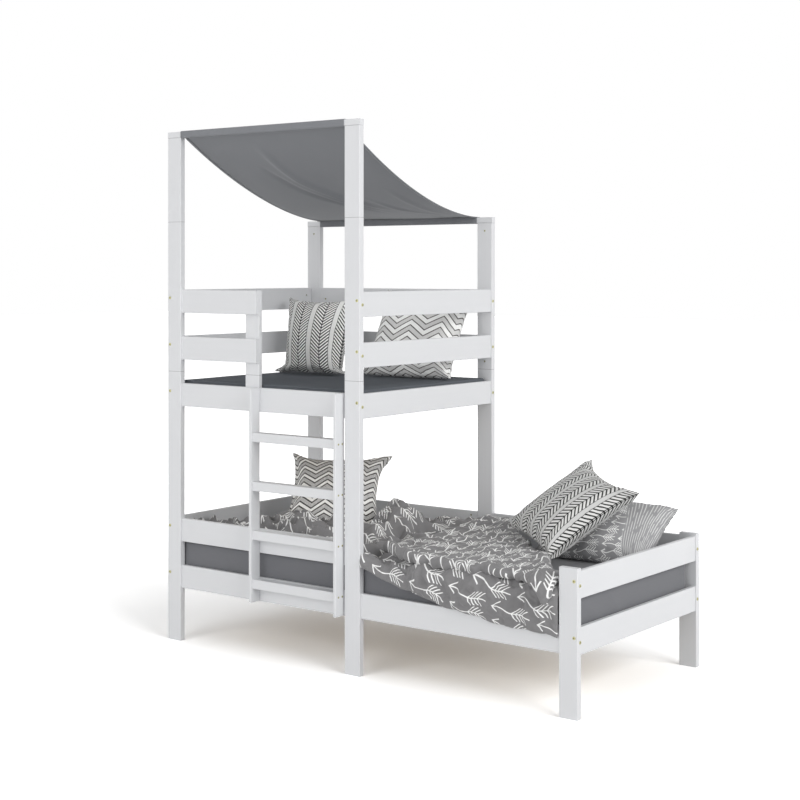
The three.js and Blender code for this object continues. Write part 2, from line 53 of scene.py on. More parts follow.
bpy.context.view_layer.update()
CLOTH_UV = "cloth"
MM = 0.001
SOFT_STEP = 0.6 * MM
# Without a seed of its own, noise_vector shifts its noise by the clock.
NOISE_SEED = 7
Colour = tuple[float, float, float, float]


def tone(red: int, green: int, blue: int) -> Colour:
    """Turns a display colour into the linear one that a shader takes.

    Args:
        red: Display level from 0 to 255.
        green: Display level from 0 to 255.
        blue: Display level from 0 to 255.

    Returns:
        The linear colour with full cover.
    """
    levels = [level / 255 for level in (red, green, blue)]
    linear = [c / 12.92 if c <= 0.04045 else ((c + 0.055) / 1.055) ** 2.4 for c in levels]
    return (linear[0], linear[1], linear[2], 1.0)


# Shader nodes

class Signal:
    """A number that the nodes work out; arithmetic on it adds Math nodes."""

    def __init__(self, sheet: "NodeSheet", socket: bpy.types.NodeSocket) -> None:
        """Holds the sheet and the socket that carries the number."""
        self.sheet = sheet
        self.socket = socket

    def _with(self, operation: str, *others: "Signal | float") -> "Signal":
        """Adds one Math node."""
        return self.sheet.math(operation, self, *others)

    def __add__(self, other: "Signal | float") -> "Signal":
        """Adds."""
        return self._with("ADD", other)

    def __sub__(self, other: "Signal | float") -> "Signal":
        """Takes away."""
        return self._with("SUBTRACT", other)

    def __mul__(self, other: "Signal | float") -> "Signal":
        """Multiplies."""
        return self._with("MULTIPLY", other)

    def __truediv__(self, other: "Signal | float") -> "Signal":
        """Divides."""
        return self._with("DIVIDE", other)

    def __abs__(self) -> "Signal":
        """Drops the sign."""
        return self._with("ABSOLUTE")

    def fract(self) -> "Signal":
        """Keeps what is over the whole number below."""
        return self._with("FRACT")

    def floor(self) -> "Signal":
        """Goes down to a whole number."""
        return self._with("FLOOR")

    def sine(self) -> "Signal":
        """Takes the sine."""
        return self._with("SINE")

    def below(self, limit: "Signal | float", soft: float = SOFT_STEP) -> "Signal":
        """Gives 1 below the limit and 0 above it, with a soft step.

        Args:
            limit: Where the step is.
            soft: Width of the step.

        Returns:
            The mask.
        """
        under = self.sheet.math("SUBTRACT", limit, self)
        return self.sheet.math("ADD", under / soft, 0.5, clamp=True)

    def above(self, limit: "Signal | float", soft: float = SOFT_STEP) -> "Signal":
        """Gives 1 above the limit and 0 below it, with a soft step."""
        return self.sheet.math("ADD", (self - limit) / soft, 0.5, clamp=True)

    def larger(self, other: "Signal | float") -> "Signal":
        """Gives the larger of two numbers."""
        return self._with("MAXIMUM", other)


class NodeSheet:
    """Adds and links the shader nodes of one material."""

    def __init__(self, name: str) -> None:
        """Makes the material and finds its shader.

        Args:
            name: The material's name.
        """
        self.material = bpy.data.materials.new(name)
        self.material.use_nodes = True
        self.tree = self.material.node_tree
        self.shader = next(n for n in self.tree.nodes if n.type == "BSDF_PRINCIPLED")

    def add(self, kind: str, **settings: object) -> bpy.types.Node:
        """Adds one node and sets its properties."""
        node = self.tree.nodes.new(kind)
        for key, value in settings.items():
            setattr(node, key, value)
        return node

    def feed(self, socket: bpy.types.NodeSocket, value: object) -> None:
        """Links a socket or a signal to another socket, or sets its value."""
        if isinstance(value, Signal):
            value = value.socket
        if isinstance(value, bpy.types.NodeSocket):
            self.tree.links.new(value, socket)
        else:
            socket.default_value = value

    def math(self, operation: str, *values: "Signal | float", clamp: bool = False) -> Signal:
        """Adds a Math node.

        Args:
            operation: Blender's name of the operation.
            values: What goes in.
            clamp: Whether the result stays between 0 and 1.

        Returns:
            The result.
        """
        node = self.add("ShaderNodeMath", operation=operation, use_clamp=clamp)
        for socket, value in zip(node.inputs, values):
            self.feed(socket, value)
        return Signal(self, node.outputs[0])

    def place(self) -> bpy.types.NodeSocket:
        """Gives the place on the object, in metres."""
        return self.add("ShaderNodeTexCoord").outputs["Object"]

    def height(self) -> Signal:
        """Gives the height on the object, in metres."""
        parts = self.add("ShaderNodeSeparateXYZ")
        self.feed(parts.inputs[0], self.place())
        return Signal(self, parts.outputs["Z"])

    def cloth(self) -> tuple[Signal, Signal]:
        """Gives the place on the flat cloth, in metres."""
        parts = self.add("ShaderNodeSeparateXYZ")
        self.feed(parts.inputs[0], self.cloth_vector())
        return Signal(self, parts.outputs["X"]), Signal(self, parts.outputs["Y"])

    def cloth_vector(self) -> bpy.types.NodeSocket:
        """Gives the place on the flat cloth as one vector."""
        return self.add("ShaderNodeUVMap", uv_map=CLOTH_UV).outputs["UV"]

    def stretched(self, vector: bpy.types.NodeSocket, scale: Sequence[float]) -> bpy.types.NodeSocket:
        """Stretches a place by one scale for each axis."""
        node = self.add("ShaderNodeMapping")
        self.feed(node.inputs["Vector"], vector)
        node.inputs["Scale"].default_value = scale
        return node.outputs["Vector"]

    def speckle(self, vector: bpy.types.NodeSocket, scale: float, detail: float = 3.0) -> Signal:
        """Adds a noise texture.

        Args:
            vector: The place to read.
            scale: Bumps to the metre.
            detail: Number of finer layers.

        Returns:
            The noise, from 0 to 1.
        """
        node = self.add("ShaderNodeTexNoise")
        self.feed(node.inputs["Vector"], vector)
        node.inputs["Scale"].default_value = scale
        node.inputs["Detail"].default_value = detail
        return Signal(self, node.outputs[0])

    def mix(self, share: "Signal | float", first: object, second: object) -> bpy.types.NodeSocket:
        """Mixes two colours.

        Args:
            share: How much of the second colour shows.
            first: A colour or a socket.
            second: A colour or a socket.

        Returns:
            The mixed colour.
        """
        node = self.add("ShaderNodeMix", data_type="RGBA")
        self.feed(node.inputs[0], share)
        self.feed(node.inputs[6], first)
        self.feed(node.inputs[7], second)
        return node.outputs[2]

    def bump(self, height: Signal, distance: float, strength: float) -> None:
        """Raises the surface by a signal.

        Args:
            height: From 0 to 1.
            distance: Real height of the relief, in metres.
            strength: Share of it that shows.
        """
        node = self.add("ShaderNodeBump")
        node.inputs["Strength"].default_value = strength
        node.inputs["Distance"].default_value = distance
        self.feed(node.inputs["Height"], height)
        before = self.shader.inputs["Normal"].links
        if before:
            self.feed(node.inputs["Normal"], before[0].from_socket)
        self.feed(self.shader.inputs["Normal"], node.outputs["Normal"])

    def surface(self, colour: object, roughness: object, sheen: float = 0.0) -> bpy.types.Material:
        """Feeds the shader.

        Args:
            colour: A colour or a socket.
            roughness: A number or a signal.
            sheen: Weight of the cloth sheen.

        Returns:
            The finished material.
        """
        self.feed(self.shader.inputs["Base Color"], colour)
        self.feed(self.shader.inputs["Roughness"], roughness)
        self.shader.inputs["Sheen Weight"].default_value = sheen
        return self.material


# Finishes

class Grain(Enum):
    """The axis that a board's length and brush marks follow."""

    ALONG_X = 0
    ALONG_Y = 1
    ALONG_Z = 2


@dataclass(frozen=True)
class PaintedBoard:
    """White satin paint, brushed along the board over faint grain, with thin lines of painted shade where
    boards meet.
    """

    grain: Grain
    seam_heights: tuple[float, ...] = ()
    paint: Colour = tone(216, 217, 219)
    pooled_paint: Colour = tone(200, 201, 204)
    # Painted shade for the hairline joints: the post seam and the foot of each canopy bar.
    seam: Colour = tone(128, 128, 130)
    seam_shade_width: float = 1.3 * MM
    marks_per_metre: float = 70.0
    marks_along: float = 2.2
    clouds_per_metre: float = 9.0
    mark_share: float = 0.22
    cloud_share: float = 0.1
    relief: float = 0.5 * MM
    relief_share: float = 0.12
    roughness: float = 0.36
    roughness_spread: float = 0.12

    def material(self) -> bpy.types.Material:
        """Builds the paint's nodes."""
        sheet = NodeSheet(f"white_paint_{self.grain.name.lower()}")
        scale = [self.marks_per_metre] * 3
        scale[self.grain.value] = self.marks_along
        brushed = sheet.speckle(sheet.stretched(sheet.place(), scale), 1.0, 4.0)
        pooled = sheet.speckle(sheet.place(), self.clouds_per_metre, 2.0)
        share = (brushed - 0.5) * self.mark_share + pooled * self.cloud_share
        colour = sheet.mix(share, self.paint, self.pooled_paint)
        # Thin dark lines of painted shade at the given joint heights.
        if self.seam_heights:
            height = sheet.height()
            seam_shade_lines = [
                abs(height - seam_height).below(self.seam_shade_width / 2, self.seam_shade_width / 2)
                for seam_height in self.seam_heights
            ]
            line = seam_shade_lines[0]
            for other in seam_shade_lines[1:]:
                line = line.larger(other)
            colour = sheet.mix(line, colour, self.seam)
        sheet.bump(brushed, self.relief, self.relief_share)
        return sheet.surface(colour, pooled * self.roughness_spread + self.roughness)


@dataclass(frozen=True)
class BarePine:
    """Sanded pine slats with growth rings along their length, held by cotton tapes."""

    tape_height: float
    name: str
    early_wood: Colour = tone(224, 207, 176)
    late_wood: Colour = tone(192, 165, 126)
    knot: Colour = tone(150, 104, 62)
    tape: Colour = tone(214, 210, 200)
    tape_lift: float = 0.3 * MM
    tape_softness: float = 0.2 * MM
    ring_scale: tuple[float, float, float] = (60.0, 2.0, 30.0)
    knot_scale: tuple[float, float, float] = (9.0, 4.0, 9.0)
    knot_level: float = 0.66
    knot_softness: float = 0.06
    knot_share: float = 0.6
    relief: float = 0.6 * MM
    relief_share: float = 0.25
    roughness: float = 0.55
    roughness_spread: float = 0.2

    def material(self) -> bpy.types.Material:
        """Builds the wood's nodes."""
        sheet = NodeSheet(self.name)
        rings = sheet.speckle(sheet.stretched(sheet.place(), self.ring_scale), 1.0, 5.0)
        knots = sheet.speckle(sheet.stretched(sheet.place(), self.knot_scale), 1.0, 2.0)
        wood = sheet.mix(rings, self.early_wood, self.late_wood)
        knotted = knots.above(self.knot_level, self.knot_softness) * self.knot_share
        wood = sheet.mix(knotted, wood, self.knot)
        taped = sheet.height().above(self.tape_height + self.tape_lift, self.tape_softness)
        sheet.bump(rings, self.relief, self.relief_share)
        colour = sheet.mix(taped, wood, self.tape)
        return sheet.surface(colour, rings * self.roughness_spread + self.roughness)


@dataclass(frozen=True)
class YellowZinc:
    """Yellow zinc on bolt heads and barrel nuts."""

    name: str = "yellow_zinc"
    bright: Colour = tone(198, 194, 150)
    dull: Colour = tone(160, 158, 126)
    clouds_per_metre: float = 260.0
    roughness: float = 0.42
    roughness_spread: float = 0.2

    def material(self) -> bpy.types.Material:
        """Builds the metal's nodes."""
        sheet = NodeSheet(self.name)
        cloud = sheet.speckle(sheet.place(), self.clouds_per_metre, 3.0)
        sheet.shader.inputs["Metallic"].default_value = 1.0
        colour = sheet.mix(cloud, self.bright, self.dull)
        return sheet.surface(colour, cloud * self.roughness_spread + self.roughness)


@dataclass(frozen=True)
class SocketShade:
    """Painted shade: the dark inside of a hexagon socket, standing in for the shade in the recess."""

    name: str = "socket_shade"
    deep: Colour = tone(74, 72, 56)
    pale: Colour = tone(104, 100, 78)
    clouds_per_metre: float = 400.0
    roughness: float = 0.6

    def material(self) -> bpy.types.Material:
        """Builds the nodes of the painted shade inside the socket."""
        sheet = NodeSheet(self.name)
        cloud = sheet.speckle(sheet.place(), self.clouds_per_metre, 2.0)
        return sheet.surface(sheet.mix(cloud, self.deep, self.pale), self.roughness)


@dataclass(frozen=True)
class PlainWeave:
    """One-colour woven cloth with slubs, laid on a flat cloth map or on the object."""

    name: str
    cloth: Colour
    thread: Colour
    thread_width: float = 1.1 * MM
    mapped: bool = True
    sheen: float = 0.25
    shine: float = 0.5
    slubs_along: float = 30.0
    slubs_across: float = 900.0
    slubs_up: float = 300.0
    clouds_per_metre: float = 7.0
    cloud_share: float = 0.25
    relief: float = 0.5 * MM
    relief_share: float = 0.35
    roughness: float = 0.82
    roughness_spread: float = 0.1

    def material(self) -> bpy.types.Material:
        """Builds the weave's nodes."""
        sheet = NodeSheet(self.name)
        vector = sheet.cloth_vector() if self.mapped else sheet.place()
        along, across, up = self.slubs_along, self.slubs_across, self.slubs_up
        slub_x = sheet.speckle(sheet.stretched(vector, (along, across, up)), 1.0, 2.0)
        slub_y = sheet.speckle(sheet.stretched(vector, (across, along, up)), 1.0, 2.0)
        cloud = sheet.speckle(vector, self.clouds_per_metre, 3.0)
        threads = sheet.speckle(vector, 0.5 / self.thread_width, 1.0)
        colour = sheet.mix((slub_x + slub_y) * 0.5, self.cloth, self.thread)
        colour = sheet.mix(cloud * self.cloud_share, colour, self.cloth)
        sheet.bump((slub_x + slub_y) * 0.35 + threads * 0.3, self.relief, self.relief_share)
        sheet.shader.inputs["Specular IOR Level"].default_value = self.shine
        return sheet.surface(colour, cloud * self.roughness_spread + self.roughness, self.sheen)


def shows_background(tree: bpy.types.NodeTree) -> bpy.types.NodeSocket:
    """Gives 1 on the rays that show the background: seen, mirrored or through glass.

    Args:
        tree: The nodes of the floor or the sky.

    Returns:
        The share of the background's own brightness.
    """
    path = tree.nodes.new("ShaderNodeLightPath")
    shown = path.outputs["Is Camera Ray"]
    for ray in ("Is Glossy Ray", "Is Transmission Ray"):
        either = tree.nodes.new("ShaderNodeMath")
        either.operation = "MAXIMUM"
        tree.links.new(shown, either.inputs[0])
        tree.links.new(path.outputs[ray], either.inputs[1])
        shown = either.outputs[0]
    return shown


def weave_relief(sheet: NodeSheet) -> Signal:
    """Adds a fine cotton weave in relief and gives its noise.

    Args:
        sheet: The material's node sheet, for a piece with a cloth map.

    Returns:
        The noise of the weave, from 0 to 1.
    """
    vector = sheet.cloth_vector()
    fine, coarse = 1400.0, 250.0
    relief, relief_share = 0.35 * MM, 0.3
    crossed = sheet.speckle(sheet.stretched(vector, (fine, coarse, 1.0)), 1.0, 1.0)
    along = sheet.speckle(sheet.stretched(vector, (coarse, fine, 1.0)), 1.0, 1.0)
    both = (crossed + along) * 0.5
    sheet.bump(both, relief, relief_share)
    return both


@dataclass(frozen=True)
class Cotton:
    """What the printed cottons share: their roughness and sheen."""

    roughness: float = 0.88
    sheen: float = 0.06

    def thread_noise(self, sheet: NodeSheet, scale: tuple[float, float, float]) -> Signal:
        """Gives the uneven tone of the threads, stretched by one scale for each axis."""
        return sheet.speckle(sheet.stretched(sheet.cloth_vector(), scale), 1.0, 2.0)

    def finished(self, sheet: NodeSheet, colour: bpy.types.NodeSocket) -> bpy.types.Material:
        """Adds the weave and feeds the print's colour to the shader."""
        weave_relief(sheet)
        return sheet.surface(colour, self.roughness, self.sheen)


@dataclass(frozen=True)
class ChevronPrint:
    """Grey and white zigzag stripes with thin dark edges."""

    name: str
    period: float = 111 * MM
    rise: float = 48 * MM
    pitch: float = 50 * MM
    white_share: float = 0.45
    line_share: float = 0.14
    line_softness: float = 0.02
    # The default grey, paper and edge are the darker copy of the cotton, used on the bed cushion: painted
    # shade of its place under the tower.
    grey: Colour = tone(166, 165, 164)
    hatched: Colour = tone(224, 223, 221)
    paper: Colour = tone(248, 247, 244)
    edge: Colour = tone(44, 42, 41)
    hatch_scale: tuple[float, float, float] = (110.0, 620.0, 1.0)
    hatch_level: float = 0.52
    hatch_softness: float = 0.2
    cotton: Cotton = Cotton()

    def material(self) -> bpy.types.Material:
        """Builds the stripes from the cloth map."""
        sheet = NodeSheet(self.name)
        across, up = sheet.cloth()
        zigzag = abs((across / self.period).fract() - 0.5) * (2 * self.rise)
        band = ((up + zigzag) / self.pitch).fract()
        soft = self.line_softness
        is_white = band.below(self.white_share, soft)
        edge = abs(band - self.white_share).below(self.line_share / 2, soft)
        seam = abs(band - 0.5).above(0.5 - self.line_share / 2, soft)
        hatch = self.cotton.thread_noise(sheet, self.hatch_scale)
        grey = sheet.mix(hatch.above(self.hatch_level, self.hatch_softness), self.grey, self.hatched)
        colour = sheet.mix(is_white, grey, self.paper)
        colour = sheet.mix(edge.larger(seam), colour, self.edge)
        return self.cotton.finished(sheet, colour)


@dataclass(frozen=True)
class HerringbonePrint:
    """Bands of dark slanting strokes on off-white, with plain grey stripes between."""

    name: str
    period: float = 120 * MM
    plain: float = 27 * MM
    stroke_pitch: float = 15.5 * MM
    stroke: float = 7.0 * MM
    slope: float = 0.85
    first_plain: float = 67 * MM
    spine: float = 1.9 * MM
    edge: float = 1.5 * MM
    edge_share: float = 0.85
    stroke_softness: float = 0.05
    paper: Colour = tone(255, 255, 253)
    paper_thread: Colour = tone(206, 205, 203)
    stripe: Colour = tone(240, 240, 238)
    stripe_thread: Colour = tone(190, 190, 189)
    ink: Colour = tone(12, 12, 12)
    thread_scale: tuple[float, float, float] = (420.0, 420.0, 1.0)
    paper_thread_share: float = 0.3
    stripe_thread_share: float = 0.5
    cotton: Cotton = Cotton()

    def material(self) -> bpy.types.Material:
        """Builds the bands from the cloth map."""
        sheet = NodeSheet(self.name)
        across, up = sheet.cloth()
        shift = self.period / 2 - self.first_plain
        local = (((across + shift) / self.period).fract() - 0.5) * self.period
        from_plain = abs(local)
        column = self.period / 2 - self.plain / 2
        away = from_plain * -1 + self.period / 2
        strokes = ((up - away * self.slope) / self.stroke_pitch).fract()
        strokes = strokes.below(self.stroke / self.stroke_pitch, self.stroke_softness)
        spine = away.below(self.spine)
        inside = away.below(column)
        edge = abs(away - column).below(self.edge)
        thread = self.cotton.thread_noise(sheet, self.thread_scale)
        ground = sheet.mix(thread * self.paper_thread_share, self.paper, self.paper_thread)
        plain = sheet.mix(thread * self.stripe_thread_share, self.stripe, self.stripe_thread)
        colour = sheet.mix(strokes.larger(spine), ground, self.ink)
        colour = sheet.mix(inside, plain, colour)
        colour = sheet.mix(edge * self.edge_share, colour, self.ink)
        return self.cotton.finished(sheet, colour)


@dataclass(frozen=True)
class ArrowPrint:
    """Grey cotton printed with two interleaved sets of wavy white arrows with barbed tails."""

    name: str
    length: float = 172 * MM
    cell: float = 200 * MM
    row: float = 122 * MM
    line: float = 4.4 * MM
    barb_pitch: float = 14.5 * MM
    barb_reach: float = 26 * MM
    barb_slope: float = 0.95
    slant_degrees: float = 0.0
    row_shift: float = 0.37
    wave_length_share: float = 0.72
    wave_share: float = 0.05
    wander_per_metre: float = 4.2
    wander_share: float = 0.5
    head_slope: float = 0.7
    head_share: float = 0.17
    barbs: float = 3.9
    gathered_from: float | None = None
    gather_pitch: float = 19 * MM
    gather_width: float = 0.33
    gather_bow: float = 3.5
    gather_share: float = 0.6
    gather_corner: tuple[float, float] = (520 * MM, 352 * MM)
    gather_scale: tuple[float, float, float] = (60.0, 17.0, 1.0)
    ground: Colour = tone(129, 128, 129)
    ground_thread: Colour = tone(108, 108, 109)
    ink: Colour = tone(246, 246, 245)
    ink_share: float = 0.97
    cotton: Cotton = Cotton(roughness=0.9, sheen=0.2)

    def arrows(self, sheet: NodeSheet, along: Signal, over: Signal, part: float) -> Signal:
        """Draws one set of arrows.

        Args:
            sheet: The material; not used.
            along: Metres along the arrows.
            over: Metres across the arrows.
            part: How far this set is shifted, as a share of a row.

        Returns:
            1 on the ink.
        """
        rows = over / self.row + part
        row_at = rows.floor()
        x = ((along / self.cell + row_at * self.row_shift + part * 1.1).fract() - 0.5) * self.cell
        y = (rows.fract() - 0.5) * self.row
        turn = 2 * math.pi / (self.length * self.wave_length_share)
        y = y + (x * turn + row_at * 1.9).sine() * (self.row * self.wave_share)
        away = abs(y)
        half, pen = self.length / 2, self.line / 2
        bold = 1.2
        shaft = away.below(pen) * abs(x).below(half)
        back = x + half
        head = abs(away - back * self.head_slope).below(pen * bold)
        head = head * back.below(self.length * self.head_share) * back.above(-pen)
        barb_at = x - away / self.barb_slope
        barb = (barb_at / self.barb_pitch).fract().below(self.line * bold / self.barb_pitch, 0.06)
        barb = barb * away.below(self.barb_reach)
        barb = barb * barb_at.above(self.barb_pitch * -0.1) * barb_at.below(self.barb_pitch * self.barbs)
        return shaft.larger(head).larger(barb)

    def gathered(
        self, sheet: NodeSheet, across: Signal, up: Signal, wander: Signal,
    ) -> tuple[Signal, Signal]:
        """Draws the bowed ribs of the gathered end.

        Args:
            sheet: The material.
            across: Metres across the cloth.
            up: Metres up the cloth.
            wander: Slow noise about zero.

        Returns:
            1 on the gathered end, and 1 on its ribs.
        """
        rib_softness, gap_level, gap_softness = 0.14, 0.42, 0.08
        rib_wander, end_wander, end_softness = 30 * MM, 50 * MM, 12 * MM
        broken = self.cotton.thread_noise(sheet, self.gather_scale).above(gap_level, gap_softness)
        fan_across, fan_up = self.gather_corner
        fanned = (up - fan_up) * (across * -1 + fan_across) * self.gather_bow
        bowed = across + fanned + wander * rib_wander
        ribs = (bowed / self.gather_pitch).fract().below(self.gather_width, rib_softness)
        end = (bowed + wander * end_wander).above(self.gathered_from, end_softness)
        return end, ribs * broken

    def material(self) -> bpy.types.Material:
        """Builds the arrows from the cloth map."""
        sheet = NodeSheet(self.name)
        across, up = sheet.cloth()
        turn = math.radians(self.slant_degrees)
        wander = sheet.speckle(sheet.cloth_vector(), self.wander_per_metre, 1.0) - 0.5
        along = across * math.cos(turn) + up * math.sin(turn)
        over = up * math.cos(turn) - across * math.sin(turn) + wander * (self.row * self.wander_share)
        ink = self.arrows(sheet, along, over, 0.0).larger(self.arrows(sheet, along, over, 0.5))
        if self.gathered_from is not None:
            end, ribs = self.gathered(sheet, across, up, wander)
            ink = ink * (end * -1 + 1) + ribs * end * self.gather_share
        thread = weave_relief(sheet)
        ground = sheet.mix(thread * 0.5, self.ground, self.ground_thread)
        colour = sheet.mix(ink * self.ink_share, ground, self.ink)
        return sheet.surface(colour, self.cotton.roughness, self.cotton.sheen)


# Meshes

def new_object(name: str, mesh: bpy.types.Mesh, *materials: bpy.types.Material) -> bpy.types.Object:
    """Links a mesh into the scene under a name.

    Args:
        name: The piece's name.
        mesh: Its mesh, already in place.
        materials: What it is made of.

    Returns:
        The piece's object.
    """
    piece = bpy.data.objects.new(name, mesh)
    bpy.context.scene.collection.objects.link(piece)
    for material in materials:
        mesh.materials.append(material)
    return piece


def coordinates(mesh: bpy.types.Mesh) -> np.ndarray:
    """Gives a mesh's points as rows of three numbers."""
    points = np.zeros(len(mesh.vertices) * 3)
    mesh.vertices.foreach_get("co", points)
    return points.reshape(-1, 3)


def set_coordinates(mesh: bpy.types.Mesh, points: np.ndarray) -> None:
    """Moves a mesh's points."""
    mesh.vertices.foreach_set("co", points.astype(np.float32).ravel())
    mesh.update()


def smooth(mesh: bpy.types.Mesh) -> None:
    """Shades every face smoothly."""
    mesh.polygons.foreach_set("use_smooth", [True] * len(mesh.polygons))


def mesh_of(bm: bmesh.types.BMesh, name: str) -> bpy.types.Mesh:
    """Turns a bmesh into a named mesh and frees it."""
    mesh = bpy.data.meshes.new(name)
    bm.to_mesh(mesh)
    bm.free()
    return mesh


def thicken(piece: bpy.types.Object, thickness: float) -> None:
    """Gives a sheet its thickness, half on each side."""
    wall = piece.modifiers.new("cloth", "SOLIDIFY")
    wall.thickness = thickness
    wall.offset = 0


def refine(piece: bpy.types.Object) -> None:
    """Rounds a cloth piece with one level of subdivision."""
    finer = piece.modifiers.new("finer", "SUBSURF")
    finer.levels = finer.render_levels = 1


def crumple(points: np.ndarray, scale: float, warp: float = 0.6, seed: float = 0.0) -> np.ndarray:
    """Gives creased noise at points: soft hollows between sharper folds.

    Args:
        points: Rows of three numbers.
        scale: Folds to the metre.
        warp: How much the folds wander.
        seed: Shifts the noise.

    Returns:
        One height a point, from about -1 to 1.
    """
    heights = np.empty(len(points))
    sharpness = 1.6
    shift = Vector((seed, seed * 0.7, -seed))
    for i, point in enumerate(points):
        base = Vector(point) * scale + shift
        wander = noise.noise_vector(base * 0.5) * warp
        heights[i] = 1 - 2 * abs(noise.noise(base + wander)) * sharpness
    return heights


def wave(place: np.ndarray, rise: float, turn: float, start: float = 0.0) -> np.ndarray:
    """Gives one sine wave over places: its rise, its turn for each unit of place and its start."""
    return rise * np.sin(place * turn + start)


class Skin:
    """A closed skin of an upper and a lower sheet over one grid, joined at its rim."""

    def __init__(self, steps: tuple[int, int], flat: tuple[float, float]) -> None:
        """Makes the two sheets flat, with a cloth map in metres.

        Args:
            steps: Faces along and across.
            flat: Size of the flat cloth, in metres.
        """
        bm = bmesh.new()
        cloth = bm.loops.layers.uv.new(CLOTH_UV)
        side = bm.verts.layers.float.new("side")
        bmesh.ops.create_grid(bm, x_segments=steps[0], y_segments=steps[1], size=0.5)
        for vert in bm.verts:
            vert[side] = 1.0
        for face in bm.faces:
            for loop in face.loops:
                share = loop.vert.co
                loop[cloth].uv = ((share.x + 0.5) * flat[0], (share.y + 0.5) * flat[1])
        copied = bmesh.ops.duplicate(bm, geom=bm.verts[:] + bm.edges[:] + bm.faces[:])["geom"]
        lower = [item for item in copied if isinstance(item, bmesh.types.BMVert)]
        for vert in lower:
            vert[side] = -1.0
        bmesh.ops.reverse_faces(bm, faces=[item for item in copied if isinstance(item, bmesh.types.BMFace)])
        rim = [vert for vert in bm.verts if vert.is_boundary]
        bmesh.ops.remove_doubles(bm, verts=rim, dist=1e-6)
        self.mesh = mesh_of(bm, "skin")
        start = coordinates(self.mesh)
        self.along = np.clip(start[:, 0] + 0.5, 0, 1)
        self.across = np.clip(start[:, 1] + 0.5, 0, 1)
        self.side = np.zeros(len(start))
        self.mesh.attributes["side"].data.foreach_get("value", self.side)
        self.mesh.attributes.remove(self.mesh.attributes["side"])
        smooth(self.mesh)

    def lay(self, along: np.ndarray, across: np.ndarray) -> None:
        """Writes the cloth map from one place on the flat cloth for each point.

        Args:
            along: Metres along the cloth.
            across: Metres across it.
        """
        corners = np.zeros(len(self.mesh.loops), dtype=np.int32)
        self.mesh.loops.foreach_get("vertex_index", corners)
        places = np.stack([along[corners], across[corners]], axis=1)
        self.mesh.uv_layers[CLOTH_UV].data.foreach_set("uv", places.astype(np.float32).ravel())


@dataclass(frozen=True)
class ClothPress:
    """A short cloth simulation that fills or crumples a piece."""

    frames: int = 20
    pressure: float = 4.0
    tension: float = 15.0
    bending: float = 0.5
    shrink: float = 0.0
    cap: float = 30 * MM
    hold: float = 0.0
    quality: int = 6
    mass: float = 0.25
    shear: float = 5.0
    pin_stiffness: float = 0.6

    def run(self, piece: bpy.types.Object) -> None:
        """Simulates, caps how far a point moves, and keeps the result in the mesh.

        Args:
            piece: The object, in place, with no other modifier.
        """
        start = coordinates(piece.data)
        modifier = piece.modifiers.new("press", "CLOTH")
        cloth = modifier.settings
        cloth.quality = self.quality
        cloth.mass = self.mass
        cloth.tension_stiffness = self.tension
        cloth.compression_stiffness = self.tension
        cloth.shear_stiffness = self.shear
        cloth.bending_stiffness = self.bending
        cloth.effector_weights.gravity = 0
        cloth.use_pressure = self.pressure > 0
        cloth.uniform_pressure_force = self.pressure
        cloth.shrink_min = self.shrink
        if self.hold > 0:
            group = piece.vertex_groups.new(name="hold")
            group.add(list(range(len(start))), self.hold, "REPLACE")
            cloth.vertex_group_mass = group.name
            cloth.pin_stiffness = self.pin_stiffness
        modifier.collision_settings.use_collision = False
        scene = bpy.context.scene
        scene.frame_start = 1
        modifier.point_cache.frame_start = 1
        modifier.point_cache.frame_end = self.frames
        for step in range(1, self.frames + 1):
            scene.frame_set(step)
        graph = bpy.context.evaluated_depsgraph_get()
        shaped = coordinates(piece.evaluated_get(graph).data)
        piece.modifiers.remove(modifier)
        for group in list(piece.vertex_groups):
            piece.vertex_groups.remove(group)
        scene.frame_set(1)
        if not np.isfinite(shaped).all():
            log.warning("%s keeps its drawn shape", piece.name)
            return
        move = shaped - start
        length = np.linalg.norm(move, axis=1, keepdims=True)
        factor = np.minimum(1.0, self.cap / np.maximum(length, 1e-9))
        set_coordinates(piece.data, start + move * factor)


# Frame

